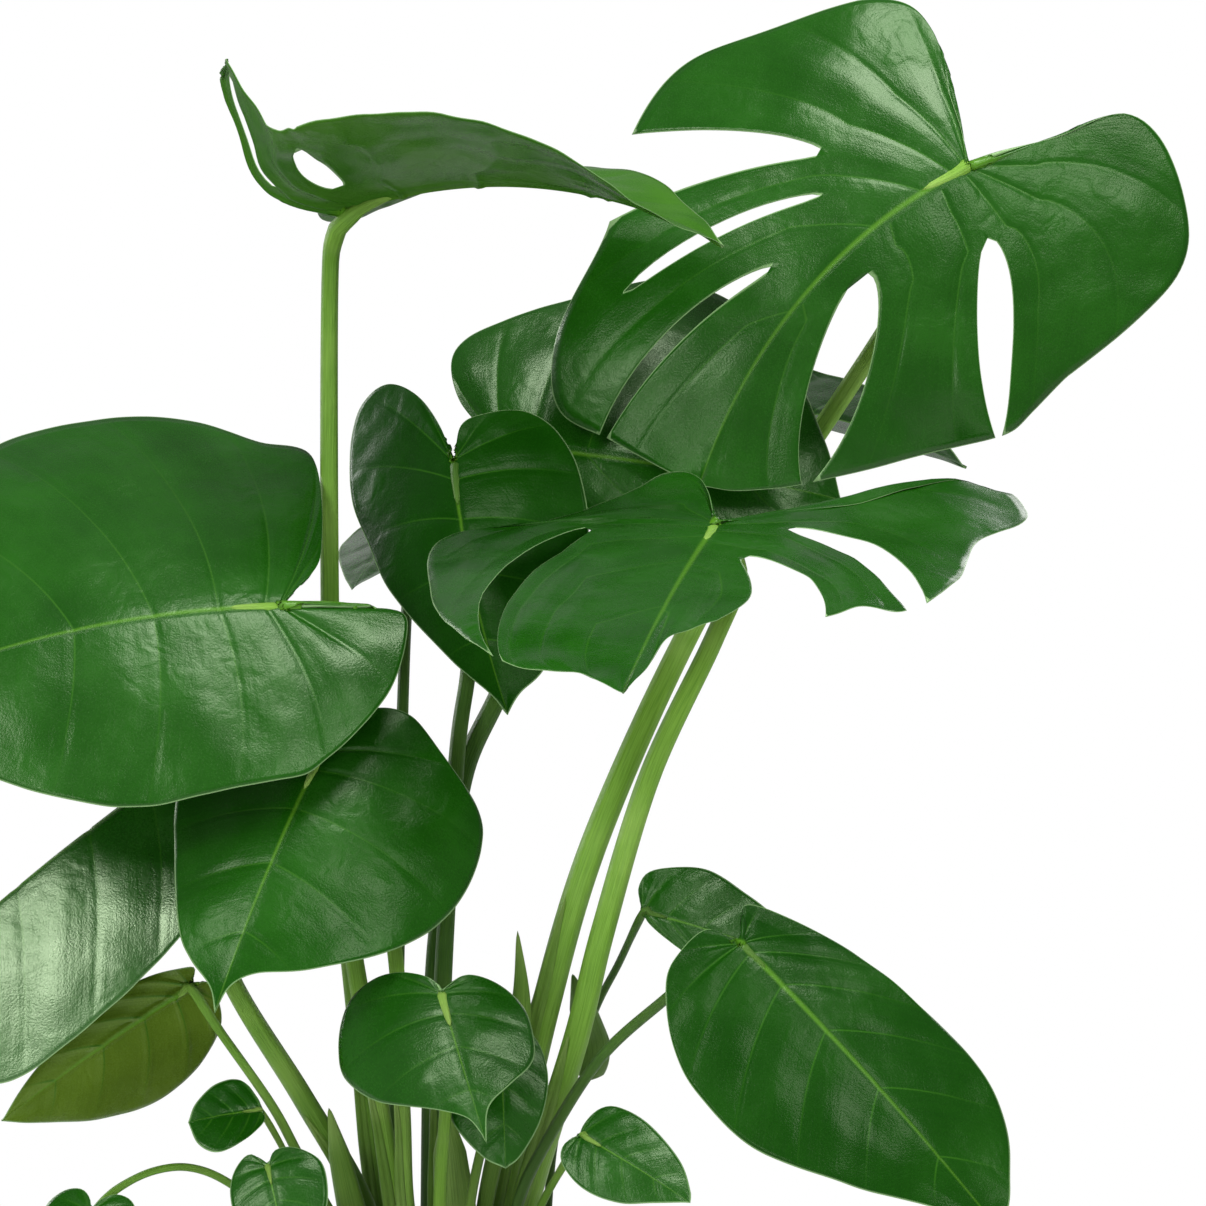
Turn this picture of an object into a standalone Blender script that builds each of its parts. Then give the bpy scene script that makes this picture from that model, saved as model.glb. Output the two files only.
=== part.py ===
"""A potted Swiss cheese plant: a plain round nursery pot, its soil, and for each leaf one stalk
and one blade, with three pointed sheaths between the stalks.
Run it with: blender --background --python part.py

The origin is the middle of the pot's underside. X runs to the plant's right, Y to its back, Z up.
Positions are written in millimetres and turned to metres where a mesh is made.
"""

import math

import bmesh
import bpy
import numpy as np
from mathutils import Matrix, Vector

MM = 0.001
GAP = 0.4  # clearance left between neighbouring pieces

# ---------------------------------------------------------------- driving dimensions, millimetres
POT_HEIGHT = 220.0
POT_RIM_RADIUS = 120.0
POT_FOOT_RADIUS = 90.0
POT_WALL = 3.0
POT_LIP_DROP = 22.0
POT_LIP_OUT = 4.0
POT_FLOOR = 4.0
POT_SIDES = 48
POT_FOOT_EDGE = 2.0       # bevel round the foot
POT_RIM_EDGE = 1.0        # bevel round the rim
DRAIN_HOLES = 6
DRAIN_HOLE_RADIUS = 6.0
DRAIN_HOLE_RING = 62.0
DRAIN_HOLE_SIDES = 16
SOIL_LEVEL = 196.0        # at the pot's wall
SOIL_CROWN = 202.0        # over the flat middle that the stalks rise from
SOIL_CROWN_RADIUS = 84.0

SHARP_EDGE = 35           # degrees between two faces of a turned body that keep a crease

BLADE_THICKNESS = 1.0
WELD = 0.05               # points of a blade closer together than this become one
NOTCH_SHARE = 0.3         # of the way round the margin: the back lobe, whose veins meet at the stalk
VEIN_BOW = 0.12           # how far a side vein bends toward the stalk, in lengths of the vein
LOBE_LENGTH = 0.3         # behind the stalk, in lengths: where a back lobe has turned up fully
CURL_REACH = 0.5          # out from the midrib, in lengths: where a side's curl is given
BACK_REACH = 0.5          # how far behind the stalk a blade may run, in lengths
MIDRIB_STEPS = 120        # steps that the midrib's curve is added up in, from back lobe to tip
MARGIN_POINTS = 97
STRAIGHT = 1e-4           # radians: less curl than this counts as this much
HAIR = 1e-9               # tells the two lips of a cut apart

STALK_SIDES_RESOLUTION = 2
STALK_POINTS = 11
STALK_CLEARANCE = 8       # degrees of room between a stalk's flat end and the folds of its blade
STALK_RISE = 8            # millimetres that a stalk rises straight up out of the soil
STALK_END = 1.2           # length of a stalk's straight end under the blade, in its radii
SHEATH_POINTS = 6

# ---------------------------------------------------------------- blade outlines
# One side of a blade from the notch, round the back lobe, to the tip. Each point is (along the
# midrib, out from it), in lengths of the midrib.
HEART = [(0, 0), (-0.14, 0.05), (-0.25, 0.20), (-0.22, 0.40), (-0.04, 0.54),
         (0.22, 0.57), (0.50, 0.46), (0.74, 0.27), (0.91, 0.08), (1, 0)]
YOUNG = [(0, 0), (-0.12, 0.06), (-0.14, 0.20), (0.10, 0.34), (0.45, 0.30), (0.80, 0.13), (1, 0)]

DEFAULTS = {
    "right": HEART,       # outline to the right of the midrib, seen from above with the tip ahead
    "left": HEART,
    "fold": (0, 0),       # degrees that the right and left side rise from the midrib
    "curl": (0, 0),       # further degrees that each side turns up by half a length out
    "droop": 0,           # degrees that the midrib turns down between the stalk and the tip
    "droop_power": 1.0,   # over 1 keeps the base straight and bends the tip
    "lift": 0,            # degrees that the back lobes turn up behind the stalk
    "sweep": 0,           # degrees that the midrib turns to the right on its way to the tip
    "twist": 0,           # degrees that the blade rolls about its midrib on the way to the tip
    "wave": (0, 1, 0),    # ripple of the margin: height in lengths, ripples a side, phase
    "vein_power": 1.5,    # over 1 gathers the side veins' starts near the stalk
    "splits": (),         # cuts between the side veins: side, place round the margin, drift of that
                          # place on the way out, inner and outer end from midrib 0 to margin 1,
                          # half width, and how far an open cut closes again at the margin
    "columns": 12,
    "rows": 3,
}


# ---------------------------------------------------------------- curves
def smooth_line(points, count):
    """count evenly spaced points of a smooth curve through the given points."""
    knots = np.array(points, float)
    knots = np.vstack([2 * knots[0] - knots[1], knots, 2 * knots[-1] - knots[-2]])
    steps = np.linspace(0, 1, 13)[:, None]
    dense = []
    for a, b, c, d in zip(knots, knots[1:], knots[2:], knots[3:]):
        dense.append(0.5 * (2 * b + (c - a) * steps + (2 * a - 5 * b + 4 * c - d) * steps**2
                            + (3 * b - a - 3 * c + d) * steps**3))
    dense = np.vstack(dense)
    length = np.concatenate([[0], np.cumsum(np.linalg.norm(np.diff(dense, axis=0), axis=1))])
    wanted = np.linspace(0, length[-1], count)
    return np.stack([np.interp(wanted, length, axis) for axis in dense.T], axis=1)


# ---------------------------------------------------------------- the blade's own shape
def midrib_frame(leaf, along):
    """Centre, across, forward and up of the midrib at each place along it, in lengths."""
    steps = np.linspace(-BACK_REACH, 1.0, MIDRIB_STEPS + 1)
    ahead = np.clip(steps, 0, None)
    behind = np.clip(-steps, 0, None)
    pitch = -np.radians(leaf["droop"]) * ahead ** leaf["droop_power"]
    pitch = pitch - np.radians(leaf["lift"]) * np.clip(behind / LOBE_LENGTH, 0, 1)
    heading = np.radians(leaf["sweep"]) * ahead
    roll = np.radians(leaf["twist"]) * ahead
    forward = np.stack([np.sin(heading) * np.cos(pitch), np.cos(heading) * np.cos(pitch),
                        np.sin(pitch)], axis=1)
    level = np.stack([np.cos(heading), -np.sin(heading), 0 * heading], axis=1)
    upright = np.cross(level, forward)
    across = level * np.cos(roll)[:, None] + upright * np.sin(roll)[:, None]
    up = upright * np.cos(roll)[:, None] - level * np.sin(roll)[:, None]
    step = steps[1] - steps[0]
    moves = (forward[1:] + forward[:-1]) / 2 * step
    centre = np.concatenate([[[0, 0, 0]], np.cumsum(moves, axis=0)])
    centre -= centre[round(BACK_REACH / step)]
    return [np.stack([np.interp(along, steps, axis) for axis in line.T], axis=-1)
            for line in (centre, across, forward, up)]


def bent(leaf, along, out):
    """Where a point of the flat blade goes when the blade folds, curls and droops."""
    right = out >= 0
    reach = np.abs(out)
    fold = np.radians(np.where(right, *leaf["fold"]))
    curl = np.radians(np.where(right, *leaf["curl"])) / CURL_REACH
    curl = np.where(np.abs(curl) < STRAIGHT, STRAIGHT, curl)
    sideways = (np.sin(fold + curl * reach) - np.sin(fold)) / curl * np.where(right, 1, -1)
    rise = (np.cos(fold) - np.cos(fold + curl * reach)) / curl
    centre, across, _, up = midrib_frame(leaf, along)
    return centre + across * sideways[..., None] + up * rise[..., None], up


def vein_point(outline, place, reach, vein_power):
    """A point of one flat side: place runs round the margin, reach from midrib to margin."""
    margin = smooth_line(outline, MARGIN_POINTS)
    shares = np.linspace(0, 1, MARGIN_POINTS)
    ends = np.stack([np.interp(place, shares, axis) for axis in margin.T], axis=-1)
    starts = np.zeros_like(ends)
    starts[..., 0] = np.clip((place - NOTCH_SHARE) / (1 - NOTCH_SHARE), 0, 1) ** vein_power
    length = np.linalg.norm(ends - starts, axis=-1)
    bow = VEIN_BOW * length * np.clip(place / NOTCH_SHARE, 0, 1)
    bows = (starts + ends) / 2
    bows[..., 0] -= bow
    r = reach[..., None]
    return (1 - r) ** 2 * starts + 2 * r * (1 - r) * bows + r**2 * ends


def cut_line(cut, reach):
    """Where a cut runs round the margin and half its width, at each reach from midrib to margin."""
    _, place, drift, inner, outer, half, closing = cut
    x = np.clip((reach - inner) / (outer - inner), 0, 1)
    if outer < 1:
        width = half * np.sqrt(4 * x * (1 - x))
    else:
        width = half * np.sqrt(x) * (1 - closing * x)
    return place + drift * np.clip((reach - inner) / (1 - inner), 0, 1), width


def opened(place, reach, cuts):
    """The margin places of one side after its cuts have pushed the blade apart."""
    still = 0 * reach
    edges = [(0.0, still, still), *[(cut[1], *cut_line(cut, reach)) for cut in cuts],
             (1.0, still + 1, still)]
    moved = place[:, :, 0] + still
    for (low, low_at, low_gap), (high, high_at, high_gap) in zip(edges, edges[1:]):
        share = (place[:, :, 0] - low) / (high - low)
        spread = low_at + low_gap + share * (high_at - high_gap - low_at - low_gap)
        lip = share + HAIR * place[:, :, 1]
        inside = (lip >= 0) & (lip < 1)
        inside |= (high == 1.0) & (share >= 1)
        moved = np.where(inside, spread, moved)
    return moved


def blade_grid(leaf, columns, rows):
    """Points of the blade's middle surface as a grid, and which of its faces a cut removes.

    The grid's columns run round the margin from notch to tip, and its rows from the left margin,
    over the midrib in the middle, to the right margin."""
    cuts = sorted(leaf["splits"], key=lambda cut: cut[1])
    places = [(k / columns, 0) for k in range(columns + 1)
              if all(abs(k / columns - cut[1]) > 0.6 / columns for cut in cuts)]
    for cut in cuts:
        places += [(cut[1], -1), (cut[1], 1)]
    places.sort()
    reach = np.linspace(-1, 1, 2 * rows + 1)[None, :] * np.ones((len(places), 1))
    place = np.array(places)[:, None, :] * np.ones((1, 2 * rows + 1, 1))
    flat = np.zeros(reach.shape + (2,))
    final = np.zeros(reach.shape)
    for side, mirror in (("right", 1), ("left", -1)):
        mine = [cut for cut in cuts if cut[0] == side]
        at = opened(place, np.abs(reach), mine)
        half = vein_point(leaf[side], at, np.abs(reach), leaf["vein_power"])
        here = reach >= 0 if mirror == 1 else reach < 0
        flat[here] = half[here] * (1, mirror)
        final[here] = at[here]
    points, up = bent(leaf, flat[..., 0], flat[..., 1])
    height, ripples, phase = leaf["wave"]
    ripple = height * np.sin(2 * math.pi * (ripples * final + phase)) * reach**2
    points = points + up * ripple[..., None]
    cut_faces = set()
    for side, place_of_cut, _, inner, outer, _, _ in cuts:
        column = places.index((place_of_cut, -1))
        for row, (low, high) in enumerate(zip(reach[0], reach[0, 1:])):
            on_side = (high > 0) == (side == "right")
            if on_side and abs(low + high) / 2 > inner and max(abs(low), abs(high)) < outer + 0.001:
                cut_faces.add((column, row))
    return points, cut_faces


def place_matrix(leaf):
    """Turns lengths of the midrib into millimetres in the plant's frame, joint to joint, tip to tip."""
    joint, tip = Vector(leaf["joint"]), Vector(leaf["tip"])
    centre, _, _, _ = midrib_frame(leaf, np.array([1.0]))
    local_tip = Vector(centre[0])
    return (Matrix.Translation(joint) @ axes(tip - joint, Vector(leaf["face"])).to_4x4()
            @ axes(local_tip, Vector((0, 0, 1))).transposed().to_4x4()
            @ Matrix.Scale((tip - joint).length / local_tip.length, 4))


def axes(forward, face):
    """A rotation whose Y is forward and whose Z is face, squared up to it."""
    y = forward.normalized()
    z = (face - face.dot(y) * y).normalized()
    x = y.cross(z)
    return Matrix((x, y, z)).transposed()


# ---------------------------------------------------------------- making objects
def material(name, colour, roughness):
    """A plain surface of one colour."""
    made = bpy.data.materials.new(name)
    made.use_nodes = True
    shader = made.node_tree.nodes["Principled BSDF"]
    shader.inputs["Base Color"].default_value = (*colour, 1)
    shader.inputs["Roughness"].default_value = roughness
    return made


def add_object(name, data, finish):
    made = bpy.data.objects.new(name, data)
    data.materials.append(finish)
    bpy.context.scene.collection.objects.link(made)
    return made


def add_blade(name, leaf, finish):
    """A blade: one grid of faces, folded and cut, then given its thickness."""
    points, cut_faces = blade_grid(leaf, leaf["columns"], leaf["rows"])
    columns, across = points.shape[:2]
    to_plant = place_matrix(leaf)
    corners = [(to_plant @ Vector(p)) * MM for p in points.reshape(-1, 3)]
    faces = [(i * across + j, (i + 1) * across + j, (i + 1) * across + j + 1, i * across + j + 1)
             for i in range(columns - 1) for j in range(across - 1) if (i, j) not in cut_faces]
    mesh = bpy.data.meshes.new(name)
    mesh.from_pydata(corners, [], faces)
    weld(mesh)
    mesh.shade_smooth()
    blade = add_object(name, mesh, finish)
    skin = blade.modifiers.new("thickness", "SOLIDIFY")
    skin.thickness = BLADE_THICKNESS * MM
    skin.offset = 0
    skin.use_even_offset = False
    return blade


def weld(mesh):
    """Merges the points that the folding brought together and drops the faces that this closed up."""
    work = bmesh.new()
    work.from_mesh(mesh)
    bmesh.ops.remove_doubles(work, verts=work.verts, dist=WELD * MM)
    bmesh.ops.delete(work, geom=[v for v in work.verts if not v.link_faces], context="VERTS")
    work.to_mesh(mesh)
    work.free()


def add_stalk(name, leaf, finish):
    """A leaf's stalk: straight up out of the soil, along its route, and in under the blade."""
    joint = Vector(leaf["joint"])
    face = place_matrix(leaf).to_3x3().col[2].normalized()
    top_radius = leaf["stalk_radius"][1]
    steepest = math.radians(max(STALK_CLEARANCE, STALK_CLEARANCE - min(leaf["fold"])))
    room = BLADE_THICKNESS + top_radius * math.tan(steepest)
    route = [*leaf["stalk"], tuple(joint - face * (room + STALK_END * top_radius))]
    return add_tapered(name, route, leaf["stalk_radius"], STALK_POINTS, finish,
                       end=tuple(joint - face * room))


def add_tapered(name, route, radii, count, finish, end=None):
    """A round rod that rises straight out of the soil at the route's first point, given as (x, y),
    and follows the rest of the route; its radius runs evenly between two values."""
    x, y = route[0]
    line_points = [(x, y, SOIL_CROWN + GAP),
                   *smooth_line([(x, y, SOIL_CROWN + STALK_RISE), *route[1:]], count)]
    if end:
        line_points.append(end)
    count = len(line_points)
    line_points = np.array(line_points)
    curve = bpy.data.curves.new(name, "CURVE")
    curve.dimensions = "3D"
    curve.bevel_depth = MM
    curve.bevel_resolution = STALK_SIDES_RESOLUTION
    curve.use_fill_caps = True
    line = curve.splines.new("POLY")
    line.points.add(count - 1)
    for point, place, radius in zip(line.points, line_points, np.linspace(*radii, count)):
        point.co = (*(place * MM), 1)
        point.radius = radius
    return add_object(name, curve, finish)


def add_turned(name, profile, sides, finish):
    """A closed body of revolution from its profile, listed as (radius, height)."""
    bm = bmesh.new()
    rings = []
    for radius, height in profile:
        if radius == 0:
            rings.append([bm.verts.new((0, 0, height * MM))])
            continue
        turns = [2 * math.pi * k / sides for k in range(sides)]
        rings.append([bm.verts.new((radius * MM * math.cos(t), radius * MM * math.sin(t), height * MM))
                      for t in turns])
    for low, high in zip(rings, rings[1:]):
        for k in range(sides):
            corners = [low[k % len(low)], low[(k + 1) % len(low)],
                       high[(k + 1) % len(high)], high[k % len(high)]]
            bm.faces.new(list(dict.fromkeys(corners)))
    bmesh.ops.recalc_face_normals(bm, faces=bm.faces)
    mesh = bpy.data.meshes.new(name)
    bm.to_mesh(mesh)
    bm.free()
    mesh.shade_smooth()
    mesh.set_sharp_from_angle(angle=math.radians(SHARP_EDGE))
    return add_object(name, mesh, finish)


# ---------------------------------------------------------------- the pot and its soil
def wall_radius(height):
    """The outside of the pot's wall below the lip."""
    return POT_FOOT_RADIUS + (POT_RIM_RADIUS - POT_LIP_OUT - POT_FOOT_RADIUS) * height / POT_HEIGHT


def add_pot(finish):
    foot, rim = POT_FOOT_EDGE, POT_RIM_EDGE
    lip = POT_HEIGHT - POT_LIP_DROP
    profile = [(0, 0), (POT_FOOT_RADIUS - foot, 0), (wall_radius(foot), foot),
               (wall_radius(lip - foot), lip - foot), (wall_radius(lip) + POT_LIP_OUT, lip),
               (POT_RIM_RADIUS, POT_HEIGHT - rim), (POT_RIM_RADIUS - rim, POT_HEIGHT),
               (wall_radius(POT_HEIGHT) - POT_WALL, POT_HEIGHT),
               (wall_radius(POT_FLOOR) - POT_WALL, POT_FLOOR), (0, POT_FLOOR)]
    pot = add_turned("pot", profile, POT_SIDES, finish)
    for k in range(DRAIN_HOLES):
        turn = 2 * math.pi * k / DRAIN_HOLES + math.pi / POT_SIDES
        bpy.ops.mesh.primitive_cylinder_add(
            vertices=DRAIN_HOLE_SIDES, radius=DRAIN_HOLE_RADIUS * MM, depth=3 * POT_FLOOR * MM,
            location=(DRAIN_HOLE_RING * MM * math.cos(turn), DRAIN_HOLE_RING * MM * math.sin(turn),
                      POT_FLOOR / 2 * MM))
        cutter = bpy.context.object
        cutter.name = f"drain_cutter_{k + 1}"
        cutter.hide_render = True
        cutter.display_type = "WIRE"
        cut = pot.modifiers.new("drain hole", "BOOLEAN")
        cut.operation = "DIFFERENCE"
        cut.solver = "EXACT"
        cut.object = cutter
    return pot


def add_soil(finish):
    floor, top = POT_FLOOR + GAP, SOIL_LEVEL
    inset = POT_WALL + GAP
    profile = [(0, floor), (wall_radius(floor) - inset - 0.5, floor), (wall_radius(top) - inset, top),
               (SOIL_CROWN_RADIUS, SOIL_CROWN), (0, SOIL_CROWN)]
    return add_turned("soil", profile, POT_SIDES, finish)


# ---------------------------------------------------------------- the leaves
# joint is where the stalk meets the blade, face the way its upper side looks. A stalk is its place
# on the soil and then the points that it passes through.
LEAVES = {
    "top_right": {
        "joint": (296, 110, 848), "tip": (142, 102, 665), "face": (0, -1, 0.15),
        "right": [(0, 0), (-0.03, 0.08), (-0.06, 0.20), (-0.11, 0.36), (-0.07, 0.49), (0.15, 0.59),
                  (0.31, 0.66), (0.47, 0.60), (0.62, 0.49), (0.83, 0.46), (0.95, 0.38), (0.97, 0.23),
                  (0.99, 0.10), (1, 0)],
        "left": [(0, 0), (-0.13, 0.01), (-0.24, 0.03), (-0.40, 0.05), (-0.45, 0.18), (-0.39, 0.40),
                 (-0.20, 0.50), (0.20, 0.57), (0.42, 0.56), (0.73, 0.40), (0.90, 0.24), (0.98, 0.10),
                 (1, 0)],
        "fold": (-6, -6), "curl": (-18, -14), "droop": 20, "sweep": -45, "vein_power": 3,
        "splits": [("right", 0.60, -0.02, 0.42, 1, 0.045, 0),
                   ("right", 0.69, 0.08, 0.30, 0.80, 0.015, 0),
                   ("right", 0.805, 0.07, 0.26, 1, 0.03, 0.85),
                   ("left", 0.54, 0.11, 0.30, 1, 0.11, 0.95),
                   ("left", 0.785, 0.11, 0.15, 1, 0.11, 0.95)],
        "stalk": [(22, 16), (31, 15, 266), (55, 15, 374), (85, 30, 472), (142, 95, 593),
                  (198, 172, 675), (250, 186, 753), (289, 156, 820)],
        "stalk_radius": (9, 4.5), "columns": 18, "rows": 5},
    "top_left": {
        "joint": (-55, 0, 816), "tip": (153, -20, 793), "face": (0, 0.03, 1),
        "right": [(0, 0), (-0.12, 0.04), (-0.40, 0.10), (-0.62, 0.20), (-0.60, 0.32), (-0.34, 0.40),
                  (-0.05, 0.50), (0.25, 0.56), (0.52, 0.50), (0.76, 0.34), (0.92, 0.14), (1, 0)],
        "left": [(0, 0), (-0.06, 0.05), (-0.10, 0.20), (-0.05, 0.38), (0.15, 0.50), (0.40, 0.46),
                 (0.70, 0.30), (0.90, 0.10), (1, 0)],
        "fold": (16, 4), "curl": (2, 0), "droop": 50, "lift": 85, "twist": -22, "vein_power": 2,
        "splits": [("right", 0.30, 0, 0.25, 0.75, 0.03, 0), ("right", 0.50, 0, 0.25, 0.75, 0.03, 0)],
        "stalk": [(-24, 30), (-38, 30, 263), (-52, 26, 389), (-62, 24, 489), (-65, 30, 600),
                  (-65, 28, 765), (-61, 8, 800)],
        "stalk_radius": (6, 4.6), "columns": 16, "rows": 4},
    "left_large": {
        "joint": (-87, -60, 597), "tip": (-293, -100, 552), "face": (-0.1, -0.8, 0.6),
        "right": [(0, 0), (-0.06, 0.07), (-0.14, 0.20), (-0.18, 0.58), (-0.06, 0.67), (0.08, 0.76),
                  (0.31, 0.81), (0.55, 0.79), (0.74, 0.59), (0.90, 0.27), (1, 0)],
        "left": [(0, 0), (-0.08, 0.01), (-0.18, 0.01), (-0.28, 0.01), (-0.32, 0.06), (-0.25, 0.25),
                 (-0.08, 0.42), (0.05, 0.48), (0.43, 0.49), (0.67, 0.42), (0.88, 0.26), (0.97, 0.10),
                 (1, 0)],
        "fold": (-4, -8), "curl": (-8, -14), "droop": 20, "sweep": -12,
        "stalk": [(-22, -2), (-27, -6, 267), (-45, -20, 381), (-59, -24, 464), (-75, -28, 535),
                  (-84, -42, 580)],
        "stalk_radius": (6, 4), "columns": 16},
    "left_middle": {
        "joint": (-64, -60, 518), "tip": (-117, -120, 383), "face": (-0.1, -0.9, 0.4),
        "right": [(0, 0), (-0.09, 0.08), (-0.16, 0.26), (-0.02, 0.42), (0.25, 0.45), (0.52, 0.35),
                  (0.76, 0.23), (0.85, 0.15), (0.92, 0.05), (1, 0)],
        "left": [(0, 0), (-0.12, 0.01), (-0.25, 0.09), (-0.28, 0.21), (-0.21, 0.36), (-0.09, 0.57),
                 (0.04, 0.64), (0.25, 0.65), (0.44, 0.59), (0.61, 0.46), (0.76, 0.25), (0.83, 0.09),
                 (0.90, 0.02), (1, 0)],
        "fold": (-8, -8), "curl": (-14, -22), "droop": 28,
        "stalk": [(-10, -26), (-20, -28, 269), (-22, -32, 322), (-26, -38, 410), (-42, -42, 470),
                  (-60, -50, 505)],
        "stalk_radius": (5, 3.6), "columns": 16},
    "left_glossy": {
        "joint": (-130, -20, 521), "tip": (-318, -60, 363), "face": (-0.5, -0.3, 0.8),
        "right": HEART,
        "left": [(0, 0), (-0.08, 0.06), (-0.13, 0.18), (-0.02, 0.30), (0.30, 0.33), (0.55, 0.35),
                 (0.70, 0.34), (0.83, 0.30), (0.94, 0.18), (1, 0)],
        "fold": (-20, -48), "curl": (-8, -14), "droop": 12,
        "stalk": [(-32, 14), (-46, 6, 268), (-78, -6, 327), (-117, -10, 392), (-133, -8, 447),
                  (-137, -6, 490), (-134, -10, 510)],
        "stalk_radius": (7, 4.5)},
    "centre_dark": {
        "joint": (2, 66, 678), "tip": (34, 30, 536), "face": (-0.42, -0.85, 0.2),
        "right": [(0, 0), (-0.17, 0.04), (-0.35, 0.14), (-0.46, 0.28), (-0.44, 0.43), (-0.30, 0.51),
                  (-0.07, 0.53), (0.17, 0.46), (0.40, 0.38), (0.73, 0.18), (0.90, 0.05), (1, 0)],
        "left": [(0, 0), (-0.14, 0.05), (-0.17, 0.16), (-0.15, 0.30), (-0.04, 0.41), (0.14, 0.47),
                 (0.40, 0.46), (0.64, 0.37), (0.87, 0.19), (0.94, 0.07), (1, 0)],
        "fold": (-6, -10), "curl": (-18, -18), "droop": 30,
        "stalk": [(0, 8), (-4, 10, 265), (-2, 16, 379), (5, 50, 511), (11, 74, 564), (10, 94, 621),
                  (8, 88, 664)],
        "stalk_radius": (5.5, 4), "columns": 16},
    "centre_split": {
        "joint": (149, 0, 642), "tip": (97, -240, 554), "face": (0, -0.45, 0.9),
        "right": [(0, 0), (-0.22, 0.06), (-0.34, 0.12), (-0.32, 0.18), (-0.16, 0.25), (0.02, 0.38),
                  (0.13, 0.57), (0.50, 0.50), (0.71, 0.41), (0.89, 0.26), (0.92, 0.12), (1, 0)],
        "left": [(0, 0), (-0.14, 0.12), (-0.24, 0.25), (-0.52, 0.50), (-0.40, 0.62), (-0.16, 0.54),
                 (0.10, 0.53), (0.34, 0.46), (0.38, 0.38), (0.53, 0.26), (0.60, 0.12), (0.74, 0.04),
                 (0.88, 0.02), (1, 0)],
        "fold": (-2, -2), "curl": (-6, -6), "droop": 10, "droop_power": 1.5, "lift": 8,
        "vein_power": 2.5,
        "splits": [("right", 0.51, 0.35, 0.44, 1, 0.13, 0.95), ("left", 0.47, 0.175, 0.28, 1, 0.08, 0.8),
                   ("left", 0.67, 0.12, 0.22, 1, 0.08, 0.4)],
        "stalk": [(34, -6), (44, -4, 266), (72, -6, 358), (87, -2, 418), (113, 10, 503),
                  (148, 20, 577), (162, 22, 614)],
        "stalk_radius": (8, 5), "columns": 20, "rows": 4},
    "behind_top": {
        "joint": (30, 130, 689), "tip": (225, 140, 658), "face": (0, -0.9, 0.4),
        "right": [(0, 0), (0.02, 0.05), (0.18, 0.19), (0.45, 0.25), (0.77, 0.17), (0.94, 0.06), (1, 0)],
        "left": [(0, 0), (-0.05, 0.04), (-0.15, 0.14), (-0.20, 0.28), (-0.17, 0.38), (-0.07, 0.46),
                 (0.10, 0.56), (0.40, 0.70), (0.64, 0.64), (0.82, 0.44), (0.94, 0.18), (1, 0)],
        "fold": (-6, -6), "curl": (-10, -10), "droop": 20,
        "stalk": [(-8, 44), (-7, 50, 375), (-1, 58, 442), (9, 68, 504), (29, 80, 549),
                  (47, 106, 600), (45, 132, 651), (36, 138, 678)],
        "stalk_radius": (7.5, 4.5), "columns": 14},
    "behind_right": {
        "joint": (182, 244, 720), "tip": (308, 269, 681), "face": (0, 0.3, 0.95),
        "right": YOUNG, "left": YOUNG, "fold": (8, 8), "droop": 20,
        "stalk": [(20, 42), (41, 44, 293), (52, 48, 371), (85, 68, 470), (135, 130, 577),
                  (160, 208, 658), (176, 238, 703)],
        "stalk_radius": (6, 4)},
    "behind_centre": {
        "joint": (-22, 122, 650), "tip": (-62, 202, 606), "face": (-0.3, 0.3, 0.85),
        "right": YOUNG, "left": YOUNG, "fold": (-6, -5), "droop": 20,
        "stalk": [(-28, 58), (-31, 56, 260), (-28, 56, 403), (-26, 66, 538), (-24, 112, 622)],
        "stalk_radius": (4, 3)},
    "right_low": {
        "joint": (161, -70, 416), "tip": (298, -110, 265), "face": (0.1, -0.85, 0.5),
        "right": [(0, 0), (-0.03, 0.01), (-0.09, 0.04), (-0.09, 0.13), (-0.05, 0.22), (0.09, 0.32),
                  (0.24, 0.36), (0.44, 0.34), (0.65, 0.23), (0.81, 0.11), (0.94, 0.03), (1, 0)],
        "left": [(0, 0), (-0.03, 0.05), (-0.08, 0.09), (-0.02, 0.14), (0.19, 0.22), (0.54, 0.27),
                 (0.77, 0.23), (0.92, 0.10), (1, 0)],
        "fold": (-5, -5), "curl": (-14, -14), "droop": 18,
        "stalk": [(28, -28), (40, -30, 269), (55, -34, 303), (85, -42, 351), (120, -52, 384),
                  (147, -60, 406)],
        "stalk_radius": (3.5, 2.8), "columns": 14},
    "right_small": {
        "joint": (109, -20, 430), "tip": (195, -20, 403), "face": (0, -0.9, 0.4),
        "right": [(0, 0), (0.06, 0.07), (0.26, 0.16), (0.48, 0.21), (0.72, 0.16), (0.92, 0.06), (1, 0)],
        "left": [(0, 0), (-0.04, 0.06), (-0.07, 0.15), (-0.03, 0.27), (0.16, 0.37), (0.33, 0.39),
                 (0.53, 0.33), (0.74, 0.24), (0.92, 0.10), (1, 0)],
        "fold": (-5, -5), "curl": (-10, -10), "droop": 15,
        "stalk": [(54, 34), (60, 40, 299), (80, 42, 364), (96, 18, 399)],
        "stalk_radius": (2.5, 2)},
    "front_right": {
        "joint": (75, -90, 316), "tip": (133, -110, 282), "face": (0.1, -0.9, 0.35),
        "right": [(0, 0), (-0.07, 0.14), (0.01, 0.27), (0.27, 0.35), (0.56, 0.29), (0.81, 0.13), (1, 0)],
        "left": [(0, 0), (-0.03, 0.08), (-0.01, 0.26), (0.11, 0.36), (0.39, 0.36), (0.75, 0.24),
                 (0.95, 0.08), (1, 0)],
        "fold": (-6, -6), "curl": (-12, -12), "droop": 20,
        "stalk": [(38, -46), (44, -50, 248), (54, -62, 275), (66, -78, 298)],
        "stalk_radius": (2.5, 2), "columns": 10},
    "front_centre": {
        "joint": (1, -100, 392), "tip": (26, -130, 316), "face": (-0.1, -0.9, 0.4),
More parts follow.
